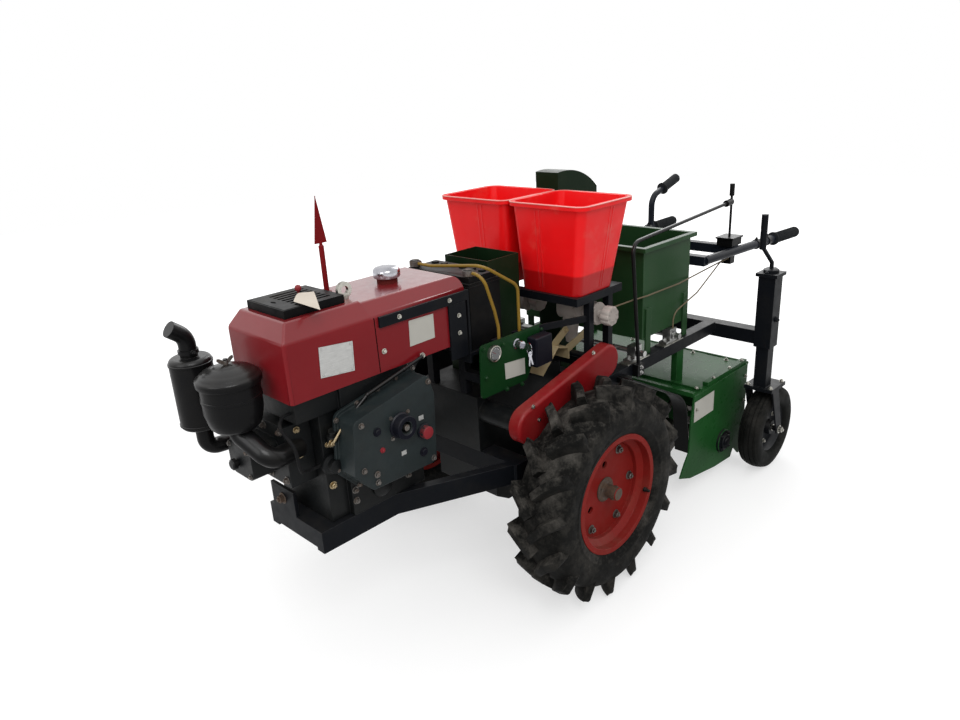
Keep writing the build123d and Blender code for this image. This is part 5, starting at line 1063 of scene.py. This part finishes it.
# Handlebars: ribbed grips, and clamps on the tubes
for side in (1, -1):
    start, end = at(-1335, side * 270.4, 790), at(-1520, side * 282, 788)
    for k in range(26):
        rib_place = start + (end - start) * (0.12 + 0.84 * k / 25)
        lathe(((20, -1.6), (21.4, -0.8), (21.4, 0.8), (20, 1.6)), rib_place, end - start, 28)
finish_piece("grip_ribs", grip_rubber, slot="grip_rubber", sharp=50)
for place_x, place_y in ((-1210, 262.6), (-1290, 267.6), (-1290, -267.6)):
    centre = at(place_x, place_y, 791)
    lathe(((17, -9), (19, -8), (19, 8), (17, 9)), centre, to_front, 28)
    nut(centre + Vector((0, 0, 19 * mm)), to_top, 9)
box((-1066 - 41, 222 - 35, 838), (-1066 + 41, 222 + 35, 844))
finish_piece("handle_clamps", satin_black, sharp=30, bevel=1)

# Tail legs: cap ears, pin and foot flange
for side_name, hand in both_sides:
    lathe(((26, 0), (26, 10), (18, 14)), at(-925, hand * 452, 766), to_top, 32)
    for out in (1, -1):
        nut(at(-925 + out * 34, hand * 452, 766), to_top, 11)
    nut(at(-925, hand * 482, 600), (0, hand, 0), 14)
    finish_piece("column_fittings_" + side_name, frame_black, sharp=30)
    nuts("fork_bolts_" + side_name, zinc, (
        (to_top, 11, 0.25, [(x, hand * (452 + out), 346) for x in (-995, -903) for out in (-42, 42)]),
        (to_left, 19, 0.25, [(-985, hand * 452 + 53, 160)]),
        ((0, -1, 0), 19, 0.25, [(-985, hand * 452 - 53, 160)]),
    ), body_of["tail_leg_" + side_name])


# Floor, light and camera

floor_half = 9.0
floor_form = bmesh.new()
bmesh.ops.create_circle(floor_form, cap_ends=True, radius=floor_half, segments=96)
floor_look = Finish("floor_pale")
floor_tone = floor_look.mix(floor_look.noise(2, 3), screen(186, 186, 186), screen(188, 188, 188))
floor_look.set(Base_Color=floor_tone, Roughness=0.9, Specular_IOR_Level=0.0)
floor_distance = floor_look.add("ShaderNodeVectorMath", {0: floor_look.place}, operation="LENGTH")
floor_glow = floor_look.spread(floor_distance.outputs["Value"], 1.3, 4.0, 0.56, 1.0)
floor_light = floor_look.math("MULTIPLY", floor_glow, floor_look.seen_rays())
floor_look.set(Emission_Color=(1, 1, 1, 1), Emission_Strength=floor_light)
floor_mesh = bpy.data.meshes.new("floor")
floor_form.to_mesh(floor_mesh)
floor_form.free()
floor_mesh.materials.append(floor_look.material)
floor = bpy.data.objects.new("floor", floor_mesh)
bpy.context.collection.objects.link(floor)

world = bpy.data.worlds.new("studio")
bpy.context.scene.world = world
world.use_nodes = True
sky = Nodes(world.node_tree)
sky_height = sky.height(sky.add("ShaderNodeTexCoord").outputs["Generated"])
sky_light = sky.math("MAXIMUM", sky.spread(sky_height, 0.0, 1.0, 0.3, 1.05), sky.seen_rays())
background = sky.tree.nodes["Background"]
sky.join(sky_light, background.inputs["Strength"])
background.inputs["Color"].default_value = (1, 1, 1, 1)

# Lamps: place in metres, size, power in watts
lamps = (
    ("key", (2.4, 3.4, 4.2), 2.6, 95),
    ("front", (4.6, 0.4, 2.4), 2.4, 38),
    ("back", (-3.6, -1.6, 3.6), 2.6, 60),
)
aim = Vector((0, 0, 0.5))
for name, place, size, power in lamps:
    data = bpy.data.lights.new(name, "AREA")
    data.size = size
    data.energy = power
    lamp = bpy.data.objects.new(name, data)
    lamp.location = place
    lamp.rotation_euler = (aim - Vector(place)).to_track_quat("-Z", "Y").to_euler()
    bpy.context.collection.objects.link(lamp)

# The photograph's camera: place in millimetres from the axle, and its turn, height and roll in degrees
camera_place = at(1558, 1512, 1432)
camera_turn = math.radians(135.3)
camera_height = math.radians(20.35)
camera_roll = math.radians(-3.3)
sensor_width = 36.0
focal_pixels = 747.3
picture_width = 960
backward = Vector((
    math.sin(camera_turn) * math.cos(camera_height),
    -math.cos(camera_turn) * math.cos(camera_height),
    math.sin(camera_height),
))
right = (-backward).cross(Vector((0, 0, 1))).normalized()
upward = right.cross(-backward)
rolled_right = right * math.cos(camera_roll) + upward * math.sin(camera_roll)
rolled_up = upward * math.cos(camera_roll) - right * math.sin(camera_roll)
camera_data = bpy.data.cameras.new("camera")
camera_data.sensor_width = sensor_width
camera_data.lens = focal_pixels * sensor_width / picture_width
camera = bpy.data.objects.new("camera", camera_data)
turn = Matrix((rolled_right, rolled_up, backward)).transposed().to_4x4()
camera.matrix_world = Matrix.Translation(camera_place) @ turn
bpy.context.collection.objects.link(camera)
bpy.context.scene.camera = camera
bpy.context.scene.view_settings.view_transform = "Standard"
